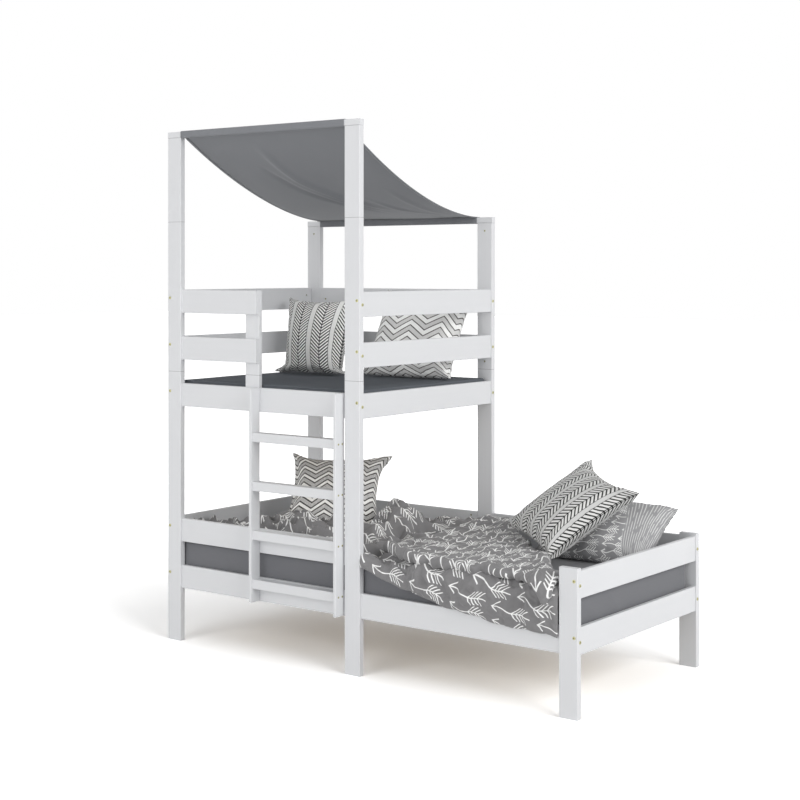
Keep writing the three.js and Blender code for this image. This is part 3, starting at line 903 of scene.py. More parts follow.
@dataclass(frozen=True)
class Fastener:
    """A round head with a hexagon socket, standing a little proud of the wood."""

    radius: float = 6.3 * MM
    height: float = 2.2 * MM
    socket: float = 3.1 * MM
    socket_depth: float = 1.7 * MM
    bevel_height: float = 0.5 * MM
    bevel_width: float = 0.7 * MM
    sides: int = 24

    def add_to(self, bm: bmesh.types.BMesh, foot: Vector, outward: Vector) -> None:
        """Adds one head to a mesh.

        Args:
            bm: The mesh that holds all the heads.
            foot: Where the head meets the wood.
            outward: The way out of the wood.
        """
        turn = outward.to_track_quat("Z", "Y").to_matrix().to_4x4()
        ring = bmesh.ops.create_circle(bm, cap_ends=True, radius=self.radius, segments=self.sides)["verts"]
        face = ring[0].link_faces[0]
        if face.normal.z < 0 or face.calc_center_median().z < 0:
            face.normal_flip()
        head = bmesh.ops.extrude_face_region(bm, geom=[face])
        top = [item for item in head["geom"] if isinstance(item, bmesh.types.BMVert)]
        bmesh.ops.translate(bm, verts=top, vec=Vector((0, 0, self.height - self.bevel_height)))
        cap = next(item for item in head["geom"] if isinstance(item, bmesh.types.BMFace))
        bmesh.ops.inset_individual(bm, faces=[cap], thickness=self.bevel_width)
        bmesh.ops.translate(bm, verts=cap.verts[:], vec=Vector((0, 0, self.bevel_height)))
        bmesh.ops.inset_individual(bm, faces=[cap], thickness=self.radius - self.socket - self.bevel_width)
        sixth = math.pi / 3
        for vert in cap.verts:
            angle = math.atan2(vert.co.y, vert.co.x) % sixth - sixth / 2
            reach = self.socket * math.cos(sixth / 2) / math.cos(angle)
            flat = Vector((vert.co.x, vert.co.y, 0)).normalized() * reach
            vert.co = Vector((flat.x, flat.y, vert.co.z))
        # The socket takes the second material, its painted shade.
        cap.material_index = 1
        well = bmesh.ops.extrude_face_region(bm, geom=[cap])
        floor = [item for item in well["geom"] if isinstance(item, bmesh.types.BMVert)]
        bmesh.ops.translate(bm, verts=floor, vec=Vector((0, 0, -self.socket_depth)))
        bmesh.ops.delete(bm, geom=[cap], context="FACES_ONLY")
        used = {vert for vert in bm.verts if not vert.tag}
        bmesh.ops.transform(bm, matrix=Matrix.Translation(foot) @ turn, verts=list(used))
        for vert in used:
            vert.tag = True


@dataclass
class WoodFrame:
    """The painted posts, rails, ladder and slats, with their fasteners."""

    corner: Vector = field(default_factory=lambda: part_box("post_front_left_lower")[0])
    left_end: float = 100 * MM
    setback: float = 14 * MM
    drop: float = 2 * MM
    rise: float = 15 * MM
    bolt_depth: float = 18 * MM
    screw_depths: tuple[float, float] = (18 * MM, 42 * MM)
    rungs: int = 4
    nut_inset: float = 35 * MM
    nut_middle_shift: float = 32 * MM
    nut_sink: float = 4 * MM
    tape: float = 1 * MM
    bolt: Fastener = Fastener()
    screw: Fastener = Fastener(
        radius=4.2 * MM, height=1.3 * MM, socket=1.9 * MM, socket_depth=0.9 * MM, sides=18,
    )
    nut: Fastener = Fastener(
        radius=4.8 * MM, height=1.2 * MM, socket=2.4 * MM, socket_depth=0.9 * MM, sides=18,
    )

    def dress(self) -> None:
        """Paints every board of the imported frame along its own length."""
        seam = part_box("post_front_left_lower")[1].z
        tops = (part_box("canopy_bar_front")[0].z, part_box("canopy_bar_back")[0].z)
        paints = {
            Grain.ALONG_X: PaintedBoard(Grain.ALONG_X).material(),
            Grain.ALONG_Y: PaintedBoard(Grain.ALONG_Y).material(),
            # The upright boards carry painted shade lines at the post seam and under both canopy bars.
            Grain.ALONG_Z: PaintedBoard(Grain.ALONG_Z, (seam, *tops)).material(),
        }
        soft = ("mattress", "deck_pad", "canopy_cloth", "duvet", "pillow")
        for name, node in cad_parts.items():
            if name in soft or name.endswith(("cushion", "cushion_left", "cushion_right")):
                continue
            low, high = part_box(name)
            if name.endswith("slat_roll"):
                finish = BarePine(high.z - self.tape, f"bare_pine_{name}").material()
            else:
                size = high - low
                finish = paints[Grain(max(range(3), key=lambda axis: size[axis]))]
            node.data.materials.clear()
            node.data.materials.append(finish)

    def bolt_places(self) -> list[tuple[Vector, Vector]]:
        """Finds the bolt heads: one on the wide and one on the narrow face at each rail.

        Returns:
            Pairs of a foot point and the way out of the wood.
        """
        places: list[tuple[Vector, Vector]] = []
        tower = [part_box(f"{level}_back") for level in ("deck_rail", "guard_low", "guard_top")]
        low = [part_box(f"bed_rail_back_left_{level}") for level in ("lower", "upper")]
        tower_heights = [(box[0].z + box[1].z) / 2 for box in tower]
        bed_heights = [(box[0].z + box[1].z) / 2 for box in low]
        posts = [
            ("post_front_left_upper", -1, tower_heights + bed_heights),
            ("post_front_mid_upper", 1, tower_heights),
            ("post_end_front", 1, bed_heights),
            ("post_back_left_upper", -1, tower_heights + bed_heights),
            ("post_back_mid_upper", 1, tower_heights),
            ("post_end_back", 1, bed_heights),
        ]
        for name, way, heights in posts:
            box_low, box_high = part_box(name)
            is_front = box_low.y < 0
            face = box_low.y if is_front else box_high.y
            outward = Vector((0, -1 if is_front else 1, 0))
            edge = box_low.x if way < 0 else box_high.x
            depth = face - outward.y * self.bolt_depth
            for height in heights:
                places.append((Vector((edge - way * self.setback, face, height + self.rise)), outward))
                places.append((Vector((edge, depth, height - self.drop)), Vector((way, 0, 0))))
        return places

    def screw_places(self) -> list[tuple[Vector, Vector]]:
        """Finds the two screws through each upright into each rung."""
        places: list[tuple[Vector, Vector]] = []
        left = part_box("ladder_stile_left")[0].x
        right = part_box("ladder_stile_right")[1].x
        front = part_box("ladder_stile_left")[0].y
        for number in range(1, self.rungs + 1):
            low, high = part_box(f"ladder_rung_{number}")
            height = (low.z + high.z) / 2
            for depth in self.screw_depths:
                places.append((Vector((left, front + depth, height)), Vector((-1, 0, 0))))
                places.append((Vector((right, front + depth, height)), Vector((1, 0, 0))))
        return places

    def nut_places(self) -> list[tuple[Vector, Vector]]:
        """Finds the mouths of the barrel-nut bores in the rails and the upper posts."""
        places: list[tuple[Vector, Vector]] = []
        inset, middle_shift = self.nut_inset, self.nut_middle_shift
        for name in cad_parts:
            if "rail" not in name and "guard_low" not in name and "guard_top" not in name:
                continue
            low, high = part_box(name)
            middle = (low.z + high.z) / 2
            if high.x - low.x > high.y - low.y:
                is_front = low.y < 0
                mouth = high.y if is_front else low.y
                outward = Vector((0, 1 if is_front else -1, 0))
                shifts = {"left": (-self.drop, middle_shift), "right": (-middle_shift, -self.drop)}
                part = next((word for word in ("left", "right") if f"_{word}_" in name), None)
                start, end = shifts.get(part, (-self.drop, -self.drop))
                places.append((Vector((low.x + inset, mouth, middle + start)), outward))
                if not (name.startswith("guard") and is_front):
                    places.append((Vector((high.x - inset, mouth, middle + end)), outward))
            else:
                is_left = low.x - self.corner.x < self.left_end
                mouth = high.x if is_left else low.x
                outward = Vector((1 if is_left else -1, 0, 0))
                for depth in (low.y + inset, high.y - inset):
                    places.append((Vector((mouth, depth, middle + self.rise)), outward))
        for name in ("post_front_left", "post_front_mid", "post_back_left", "post_back_mid"):
            low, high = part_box(f"{name}_upper")
            is_front = low.y < 0
            mouth = high.y if is_front else low.y
            outward = Vector((0, 1 if is_front else -1, 0))
            for height in (low.z + inset, high.z - inset):
                places.append((Vector(((low.x + high.x) / 2, mouth, height)), outward))
        return places

    def build(self) -> None:
        """Dresses the boards and makes the fasteners."""
        self.dress()
        metal = YellowZinc().material()
        shade = SocketShade().material()
        sunk = [(place - outward * self.nut_sink, outward) for place, outward in self.nut_places()]
        sets = [
            ("bed_bolt_heads", self.bolt, self.bolt_places()),
            ("ladder_screw_heads", self.screw, self.screw_places()),
            ("barrel_nuts", self.nut, sunk),
        ]
        for name, shape, places in sets:
            bm = bmesh.new()
            for foot, outward in places:
                shape.add_to(bm, foot, outward)
            bmesh.ops.recalc_face_normals(bm, faces=bm.faces[:])
            piece = new_object(name, mesh_of(bm, name), metal, shade)
            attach(piece, "root")
            log.info("%s: %d", name, len(places))


# Foam blocks

@dataclass
class FoamBlock:
    """A mattress or play pad: foam in a sewn cover with a corded edge."""

    node: str
    name: str
    finish: PlainWeave
    slot: str
    voxel: float
    wrinkle: float
    wrinkle_scale: float
    cord_radius: float
    cord_inset: float
    cord_corner: float = 38 * MM
    corner_steps: int = 8
    fill: float = 0.9

    def cover(self) -> bpy.types.Object:
        """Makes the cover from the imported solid, with faint wrinkles."""
        bm = bmesh.new()
        bm.from_mesh(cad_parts[self.node].data)
        bmesh.ops.remove_doubles(bm, verts=bm.verts[:], dist=1e-5)
        piece = new_object(self.name, mesh_of(bm, self.name))
        remesh = piece.modifiers.new("even", "REMESH")
        remesh.mode = "VOXEL"
        remesh.voxel_size = self.voxel
        graph = bpy.context.evaluated_depsgraph_get()
        even = bpy.data.meshes.new_from_object(piece.evaluated_get(graph))
        piece.modifiers.clear()
        piece.data = even
        even.materials.clear()
        even.materials.append(self.finish.material())
        normals = np.zeros(len(even.vertices) * 3)
        even.vertices.foreach_get("normal", normals)
        points = coordinates(even)
        stretched = points * np.array([1.0, 0.55, 1.6]) + points[:, [2, 0, 1]] * 0.5
        heights = crumple(stretched, self.wrinkle_scale) * self.wrinkle - self.wrinkle
        set_coordinates(even, points + normals.reshape(-1, 3) * heights[:, None])
        smooth(even)
        return piece

    def cord(self, height: float) -> bpy.types.Object:
        """Makes the cord round the cover at one height.

        Args:
            height: Height of the cord's middle.

        Returns:
            The cord's object.
        """
        low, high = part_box(self.node)
        reach = Vector(((high.x - low.x) / 2, (high.y - low.y) / 2)) - Vector((self.cord_inset,) * 2)
        corner = self.cord_corner
        centre = (low + high) / 2
        outline = []
        for turn, (sx, sy) in enumerate(((1, 1), (-1, 1), (-1, -1), (1, -1))):
            for step in range(self.corner_steps + 1):
                angle = (turn + step / self.corner_steps) * math.pi / 2
                outline.append((
                    centre.x + sx * (reach.x - corner) + corner * math.cos(angle),
                    centre.y + sy * (reach.y - corner) + corner * math.sin(angle),
                    height,
                ))
        curve = bpy.data.curves.new(f"{self.name}_cord", "CURVE")
        curve.dimensions = "3D"
        curve.bevel_depth = self.cord_radius
        curve.bevel_resolution = 2
        spline = curve.splines.new("POLY")
        spline.points.add(len(outline) - 1)
        for point, place in zip(spline.points, outline):
            point.co = (*place, 1)
        spline.use_cyclic_u = True
        drawn = bpy.data.objects.new("drawn", curve)
        bpy.context.scene.collection.objects.link(drawn)
        graph = bpy.context.evaluated_depsgraph_get()
        mesh = bpy.data.meshes.new_from_object(drawn.evaluated_get(graph))
        bpy.data.objects.remove(drawn)
        smooth(mesh)
        return new_object(f"{self.name}_cord_{int(height * 1000)}", mesh, self.finish.material())

    def build(self) -> None:
        """Makes the cover and its two cords."""
        piece = self.cover()
        low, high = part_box(self.node)
        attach(piece, "root")
        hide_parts(self.node)
        inset = self.cord_inset + self.cord_radius
        for height in (low.z + inset, high.z - inset):
            cord = self.cord(height)
            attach(cord, "root")
        log.info("%s: %d points", self.name, len(piece.data.vertices))


# Cushions

@dataclass
class Cushion:
    """A filled cotton cushion with pointed corners and drawn-in sides.

    The ears are how far the left and the right upper corner stand out and up, the foot is how far the
    lower corners spread, the slump is how much the cushion narrows upwards and the drift is how far the
    narrowed part moves sideways.
    """

    node: str
    name: str
    width: float
    height: float
    yaw: float
    lean: float
    roll: float
    finish: ChevronPrint | HerringbonePrint | ArrowPrint
    slot: str
    thickness: float = 150 * MM
    cells: int = 76
    drawn_share: float = 0.07
    base_share: float = 0.07
    ears: tuple[tuple[float, float], tuple[float, float]] = ((0.0, 0.0), (0.0, 0.0))
    foot: float = 0.0
    fullness: float = 0.5
    fill: float = 0.75
    crumple_height: float = 2.0 * MM
    folds_per_metre: float = 16.0
    pucker: float = 2.2 * MM
    pucker_pitch: float = 26 * MM
    pucker_reach: float = 30 * MM
    ear_reach: tuple[float, float] = (60 * MM, 70 * MM)
    foot_reach: tuple[float, float] = (80 * MM, 120 * MM)
    slump: float = 0.0
    slump_rise_share: float = 0.15
    drift: float = 0.0
    seed: float = 0.0
    press: ClothPress = ClothPress(
        frames=20, pressure=4, tension=15, bending=0.05, shrink=-0.05, cap=11 * MM,
    )

    def turn(self) -> Matrix:
        """Gives the cushion's turn: rolled in its plane, leant back, turned about the upright."""
        yaw = Matrix.Rotation(math.radians(self.yaw), 4, "Z")
        stand = Matrix.Rotation(math.pi / 2 - math.radians(self.lean), 4, "X")
        roll = Matrix.Rotation(math.radians(self.roll), 4, "Z")
        return yaw @ stand @ roll

    @staticmethod
    def run_over(share: np.ndarray) -> np.ndarray:
        """Gives how far the cover has run over the crown, in shares of the cushion's size."""
        curved_share, even_share = 0.32, 0.56
        return 0.5 - curved_share * np.cos(np.pi * share) + even_share * (share - 0.5)

    def puckers(self, u: np.ndarray, v: np.ndarray) -> np.ndarray:
        """Gives the puckers along the seams.

        Args:
            u: Place across the cushion, from -1 to 1.
            v: Place up the cushion, from -1 to 1.

        Returns:
            Their rise, as a share.
        """
        half_width, half_height = self.width / 2, self.height / 2
        near_side = np.exp(-(1 - np.abs(u)) * half_width / self.pucker_reach)
        near_end = np.exp(-(1 - np.abs(v)) * half_height / self.pucker_reach)
        turn = 2 * np.pi / self.pucker_pitch
        uneven = 1.7
        up_the_side = np.sin(v * half_height * turn + uneven * np.sin(v * 9 + self.seed))
        along_the_end = np.sin(u * half_width * turn + uneven * np.sin(u * 8 + 2 * self.seed))
        return near_side * up_the_side + near_end * along_the_end

    def corner(self, from_side: np.ndarray, from_end: np.ndarray, reach: tuple[float, float]) -> np.ndarray:
        """Gives how near points are to a corner, from 1 at the corner itself.

        Args:
            from_side: How far in from the side, as a share of half the width.
            from_end: How far in from the end, as a share of half the height.
            reach: How far the corner's pull reaches across and up, in metres.

        Returns:
            The nearness of each point.
        """
        across = from_side * self.width / 2 / reach[0]
        up = from_end * self.height / 2 / reach[1]
        return np.exp(-across ** 2 - up ** 2)

    def drawn(self, skin: Skin) -> np.ndarray:
        """Draws the filled shape over the skin's grid, puckered along its seams."""
        u = -np.cos(np.pi * skin.along)
        v = -np.cos(np.pi * skin.across)
        crown = np.maximum((1 - u * u) * (1 - v * v), 0) ** self.fullness
        above_base = 1 - np.exp(-((v + 1) / self.slump_rise_share) ** 2)
        least_slump_share, more_below_share = 0.65, 0.35
        narrowed = 1 - self.slump * above_base * (least_slump_share - more_below_share * v)
        rise = np.minimum(crown * 3, 1) * self.puckers(u, v) * self.pucker
        from_side = 1 - np.abs(u)
        ear = self.corner(from_side, 1 - v, self.ear_reach)
        foot = self.corner(from_side, 1 + v, self.foot_reach)
        (left_out, left_up), (right_out, right_up) = self.ears
        ends = np.where(v < 0, self.base_share, self.drawn_share)
        across = self.width / 2 * u * (1 - self.drawn_share * (1 - v * v)) * narrowed
        across += self.drift * (1 - narrowed)
        across += ear * np.where(u < 0, -left_out, right_out) + foot * self.foot * np.sign(u)
        up = self.height / 2 * v * (1 - ends * (1 - u * u)) + ear * np.where(u < 0, left_up, right_up)
        return np.stack([across, up, skin.side * (self.thickness / 2 * crown + rise)], axis=1)

    def build(self) -> None:
        """Makes the cushion and rests it where its solid is."""
        skin = Skin((self.cells, self.cells), (1, 1))
        skin.lay(
            self.run_over(skin.along) * self.width * (1 - self.slump),
            self.run_over(skin.across) * self.height,
        )
        mesh = skin.mesh
        mesh.name = self.name
        piece = new_object(self.name, mesh, self.finish.material())
        set_coordinates(mesh, self.drawn(skin))
        self.press.run(piece)
        points = coordinates(mesh)
        edge = 1 - np.abs(points[:, 2]) / (self.thickness / 2)
        folds = crumple(points * np.array([1, 1, 0.4]), self.folds_per_metre, 0.9, self.seed)
        off_the_seam = np.clip(edge * 2, 0.3, 1) * (edge < 0.98)
        points[:, 2] += skin.side * folds * self.crumple_height * off_the_seam
        low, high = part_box(self.node)
        place = Matrix.Translation((low + high) / 2) @ self.turn()
        set_coordinates(mesh, points)
        mesh.transform(place)
        points = coordinates(mesh)
        points[:, 2] = np.maximum(points[:, 2], low.z)
        set_coordinates(mesh, points)
        refine(piece)
        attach(piece, "root")
        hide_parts(self.node)
        log.info("%s: %d points", self.name, len(mesh.vertices))


# Duvet

@dataclass(frozen=True)
class Heap:
    """A rise in the duvet, placed by shares of the mattress length and depth."""

    rise: float
    along_share: float
    across_share: float
    size_share: float


@dataclass
class Duvet:
    """A duvet under the tower and on the open half, folded back on itself and hanging over the front.

    The tables of reaches go along the bed: how far back the duvet lies, how far forwards its folded half
    comes, where the fold's back rim stands up, and how loose the cloth is.
    """

    thickness: float = 44 * MM
    lower_thickness: float = 34 * MM
    fold_thickness: float = 32 * MM
    fold_roll: float = 0.4
    hang_thickness: float = 22 * MM
    turn_radius: float = 40 * MM
    hang_drop: float = 146 * MM
    least_drop: float = 4 * MM
    clearance: float = 1 * MM
    side_clearance: float = 2 * MM
    rail_clearance: float = 4 * MM
    lip: float = 17 * MM
    rim_rise: float = 17 * MM
    rim_width: float = 50 * MM
    fold_sides: tuple[float, float] = (8 * MM, 10 * MM)
    fold_back_step: float = 14 * MM
    roll_reach: float = 70 * MM
    gather_pitch: float = 41 * MM
    gather_rise: float = 3.5 * MM
    left_lift: float = 12 * MM
    hem_power: float = 1.95
    blend: float = 120 * MM
    tower_share: float = 16 / 34
    lower_steps: tuple[int, int] = (240, 100)
    fold_steps: tuple[int, int] = (160, 90)
    lower_folds: float = 17 * MM
    upper_folds: float = 11 * MM
    heaps: tuple[Heap, ...] = (
        Heap(62 * MM, 0.27, 0.33, 0.12), Heap(105 * MM, 0.392, 0.63, 0.06), Heap(34 * MM, 0.6, 0.88, 0.09),
        Heap(14 * MM, 0.48, 0.85, 0.07),
    )
    back_reach: tuple[tuple[float, float], ...] = (
        (0, 0.28), (0.13, 0.28), (0.31, 0.46), (0.37, 0.53), (0.4, 0.94), (0.55, 0.99), (0.6, 0.97),
        (0.8, 0.5), (0.87, 0.38), (0.9, 0.29), (0.97, 0.04), (1, 0.03),
    )
    fold_reach: tuple[tuple[float, float], ...] = (
        (0, -0.093), (0.07, -0.055), (0.2, 0.022), (0.3, 0.036), (0.5, 0.044), (0.62, 0.034), (0.78, 0.042),
        (0.88, 0.05), (0.93, 0.1), (0.97, 0.128), (1, 0.1),
    )
    rim_reach: tuple[tuple[float, float], ...] = ((0.6, 0), (0.72, 1), (0.9, 1), (1, 0.3))
    looseness: tuple[tuple[float, float], ...] = ((0.38, 2.2), (0.6, 0.9), (1, 0.8))
    lower_run: tuple[float, float, float] = (1.0, 1.4, 1.0)
    fold_run: tuple[float, float, float] = (1.7, 0.5, 0.4)
    lower_print: ArrowPrint = ArrowPrint("duvet_lower_print", slant_degrees=14)
    fold_print: ArrowPrint = ArrowPrint(
        "duvet_fold_print", slant_degrees=-103, line=5 * MM, row=106 * MM,
    )
    press: ClothPress = ClothPress(
        frames=12, pressure=0.5, bending=0.02, shrink=-0.045, cap=7 * MM, hold=0.3,
    )

    def __post_init__(self) -> None:
        """Reads the duvet's limits from the solids it lies between."""
        self.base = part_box("mattress")[1].z + self.clearance
        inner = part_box("bed_rail_left_end_upper")[1].x
        middle_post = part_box("post_front_mid_lower")
        self.left = inner + self.rail_clearance
        self.open_left = middle_post[1].x + self.side_clearance
        self.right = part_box("post_end_front")[0].x - self.side_clearance
        self.inside_front = middle_post[1].y + self.side_clearance
        self.inside_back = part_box("post_back_mid_lower")[0].y - self.rail_clearance
        rail_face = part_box("bed_rail_front_right_lower")[0].y
        self.hang_face = rail_face - self.clearance - self.hang_thickness / 2
        self.turn_back = self.hang_face + self.turn_radius

    def back_edge(self, x: np.ndarray) -> np.ndarray:
        """Gives how far back the duvet reaches at each place along the bed."""
        share = (x - self.left) / (self.right - self.left)
        wander = wave(x, 12 * MM, 31) + wave(x, 8 * MM, 67, 1)
        reach = np.interp(share, *zip(*self.back_reach)) + wander * np.interp(share, (0.9, 1), (1, 0))
        return self.inside_front + np.clip(reach, 0.02, 1) * (self.inside_back - self.inside_front)

    def heaped(self, x: np.ndarray, y: np.ndarray) -> np.ndarray:
        """Gives how much the heaps lift the duvet."""
        height = np.zeros(len(x))
        inside_depth = self.inside_back - self.inside_front
        for heap in self.heaps:
            along = (x - self.left) / (self.right - self.left) - heap.along_share
            across = ((y - self.inside_front) / inside_depth - heap.across_share) / 2
            height += heap.rise * np.exp(-(along ** 2 + across ** 2) / heap.size_share ** 2)
        return height

    def over_the_edge(self, run: np.ndarray, top: np.ndarray, radius: float) -> tuple[np.ndarray, ...]:
        """Follows a layer forwards over the mattress, round its front edge and down.

        Args:
            run: Metres past the start of the turn; below zero it lies flat.
            top: Height of the layer's middle where it is flat.
            radius: Radius of the turn.

        Returns:
            Depth, height and the way out of the upper side.
        """
        angle = np.clip(run / radius, 0, math.pi / 2)
        down = np.maximum(run - radius * math.pi / 2, 0)
        depth = self.turn_back - np.minimum(run, 0) - np.sin(angle) * radius
        height = top - radius + np.cos(angle) * radius - down
        return depth, height, np.stack([angle * 0, -np.sin(angle), np.cos(angle)], axis=1)

    def lower(self) -> bpy.types.Object:
        """Makes the main layer, flat on the mattress and hanging over the open front."""
        skin = Skin(self.lower_steps, (1, 1))
        u, v = skin.along, skin.across
        is_open = u > self.tower_share
        past_tower = (u - self.tower_share) / (1 - self.tower_share)
        x = np.where(
            is_open,
            self.open_left + (self.right - self.open_left) * past_tower,
            self.left + (self.open_left - self.left) * u / self.tower_share,
        )
        open_share = np.clip((x - self.open_left) / (self.right - self.open_left), 0, 1)
        hem = self.base - self.clearance - self.least_drop
        hem -= self.hang_drop * (1 - (1 - open_share) ** self.hem_power)
        hem += wave(x, 2.5 * MM, 24) + wave(x, 1.2 * MM, 61, 2)
        flat_top = self.base + self.lower_thickness / 2
        last = self.turn_radius * math.pi / 2 + flat_top - self.turn_radius - hem
        last = np.where(is_open, last, self.turn_back - self.inside_front)
        back = self.back_edge(x)
        least_back = self.turn_back + self.turn_radius
        first = self.turn_back - np.where(is_open, np.maximum(back, least_back), back)
        run = np.where(v < 0.5, first - first * v / 0.5, last * (v - 0.5) / 0.5)
        y, z, out = self.over_the_edge(run, np.full(len(u), flat_top), self.turn_radius)
        flat = ~is_open
        y = np.where(flat, self.turn_back - run, y)
        out[flat] = (0, 0, 1)
        blend = np.clip((x - self.open_left + self.blend / 2) / self.blend, 0, 1)
        thick = self.thickness + (self.lower_thickness - self.thickness) * blend + self.heaped(x, y)
        hanging = np.clip(run / (self.turn_radius * math.pi / 2), 0, 1) * is_open
        half = (thick + (self.hang_thickness - thick) * hanging ** 2) / 2
        z = np.where(flat | (run <= 0), self.base + half, z)
        inside = np.minimum(np.minimum(x - self.left, self.right - x), np.minimum(run - first, last - run))
        skin.lay(x, run)
        return self.shaped(
            skin, "duvet_lower", np.stack([x, y, z], axis=1), out, half, inside, self.lower_folds,
            self.lower_print, self.lower_run,
        )

    def upper(self) -> bpy.types.Object:
        """Makes the layer folded back over the open half, whose front lip rests on the turn."""
        skin = Skin(self.fold_steps, (1, 1))
        u, v = skin.along, skin.across
        left = self.open_left + self.fold_sides[0]
        right = self.right - self.fold_sides[1]
        x = left + (right - left) * u
        x = x + wave(v, 8 * MM, 9) * np.clip(1 - u * 6, 0, 1)
        last = np.interp(u, *zip(*self.fold_reach)) + wave(x, 5 * MM, 47) + wave(x, 4 * MM, 97, 1)
        least_back = self.turn_back + 3 * self.lip - np.minimum(last, 0)
        back = np.maximum(self.back_edge(x) - self.fold_back_step, least_back)
        first = self.turn_back - back
        run = first + (last - first) * v
        radius = self.turn_radius + (self.lower_thickness + self.fold_thickness) / 2
        rest = self.base + self.lower_thickness + self.fold_thickness / 2
        y, z, out = self.over_the_edge(run, np.full(len(u), rest), radius)
        rim = np.exp(-((run - first) / self.rim_width - 1) ** 2)
        rim = rim * np.interp(u, *zip(*self.rim_reach))
        z = z + self.heaped(x, y) + self.rim_rise * rim
        near = np.clip(1 - (last - run) / self.roll_reach, 0, 1)
        half = self.fold_thickness / 2 * (1 + self.fold_roll * (1.5 - u) * np.sqrt(near))
        z = z + half - self.fold_thickness / 2
        inside = np.minimum(np.minimum(x - left, right - x), np.minimum(run - first, last - run))
        gathers = np.sin(x * 2 * math.pi / self.gather_pitch + wave(x, 2.2, 23))
        lifted = np.clip(1 - abs(u - 0.14) * 5, 0, 1)
        z = z + near * (self.gather_rise * gathers + self.left_lift * lifted)
        skin.lay(x, run)
        return self.shaped(
            skin, "duvet_fold", np.stack([x, y, z], axis=1), out, half, inside, self.upper_folds,
            self.fold_print, self.fold_run,
        )

    def shaped(
        self, skin: Skin, name: str, middle: np.ndarray, out: np.ndarray, half: np.ndarray,
        inside: np.ndarray, coarse: float, finish: ArrowPrint, run_of_folds: tuple[float, float, float],
    ) -> bpy.types.Object:
        """Gives a layer its thickness, its folds and its print.

        Args:
            skin: The two sheets.
            name: The piece's name.
            middle: The layer's middle surface.
            out: The way out of its upper side.
            half: Half its thickness.
            inside: Metres in from the layer's edge.
            coarse: Height of the large folds.
            finish: The print on the cloth.
            run_of_folds: Scale of the folds along and across the bed, and the share of the finer ones.

        Returns:
            The layer's object.
        """
        along, deep, fine = run_of_folds
        x, y, z = middle.T
        slanted = np.stack([x * along + 0.5 * y, y * deep, z * 1.2], axis=1)
        middling_share, small_share = fine * 0.55, fine * 0.32
        folds = crumple(slanted, 5.0, warp=1.0, seed=3.0)
        folds += middling_share * crumple(slanted, 12.0, warp=0.9, seed=8.0)
        folds += small_share * crumple(slanted, 27.0, warp=0.8, seed=5.0)
        folds *= coarse
        loose = np.interp((x - self.left) / (self.right - self.left), *zip(*self.looseness))
        lift = np.where(skin.side > 0, (folds - coarse * 0.5) * loose, 0)
        edge = np.clip(inside / self.lip, 0, 1)
        rounded = np.sqrt(1 - (1 - edge) ** 2)
        reach = skin.side * half * rounded + lift * np.clip(inside / (2 * self.lip), 0, 1)
        mesh = skin.mesh
        mesh.name = name
        set_coordinates(mesh, middle + out * reach[:, None])
        piece = new_object(name, mesh, finish.material())
        self.press.run(piece)
        refine(piece)
        return piece

    def build(self) -> None:
        """Makes both layers."""
        for piece in (self.lower(), self.upper()):
            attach(piece, "root")
            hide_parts("duvet")
            log.info("%s: %d points", piece.name, len(piece.data.vertices))


# Canopy

@dataclass(frozen=True)
class Ridge:
    """A soft ridge in the canopy, as a line of shares down and across the sag."""

    rise: float
    width_share: float
    line: tuple[tuple[float, float], ...]

    def lift(self, across: np.ndarray, down: np.ndarray) -> np.ndarray:
        """Gives how much the ridge lifts the cloth.

        Args:
            across: Each point's share across the sheet.
            down: Each point's share down the sag.

        Returns:
            The lift of each point, in metres.
        """
        downs, acrosses = zip(*self.line)
        off_line = across - np.interp(down, downs, acrosses)
        shown = np.clip((down - downs[0]) * 8, 0, 1) * np.clip((downs[-1] - down) * 6, 0, 1)
        return self.rise * np.exp(-(off_line / self.width_share) ** 2) * shown


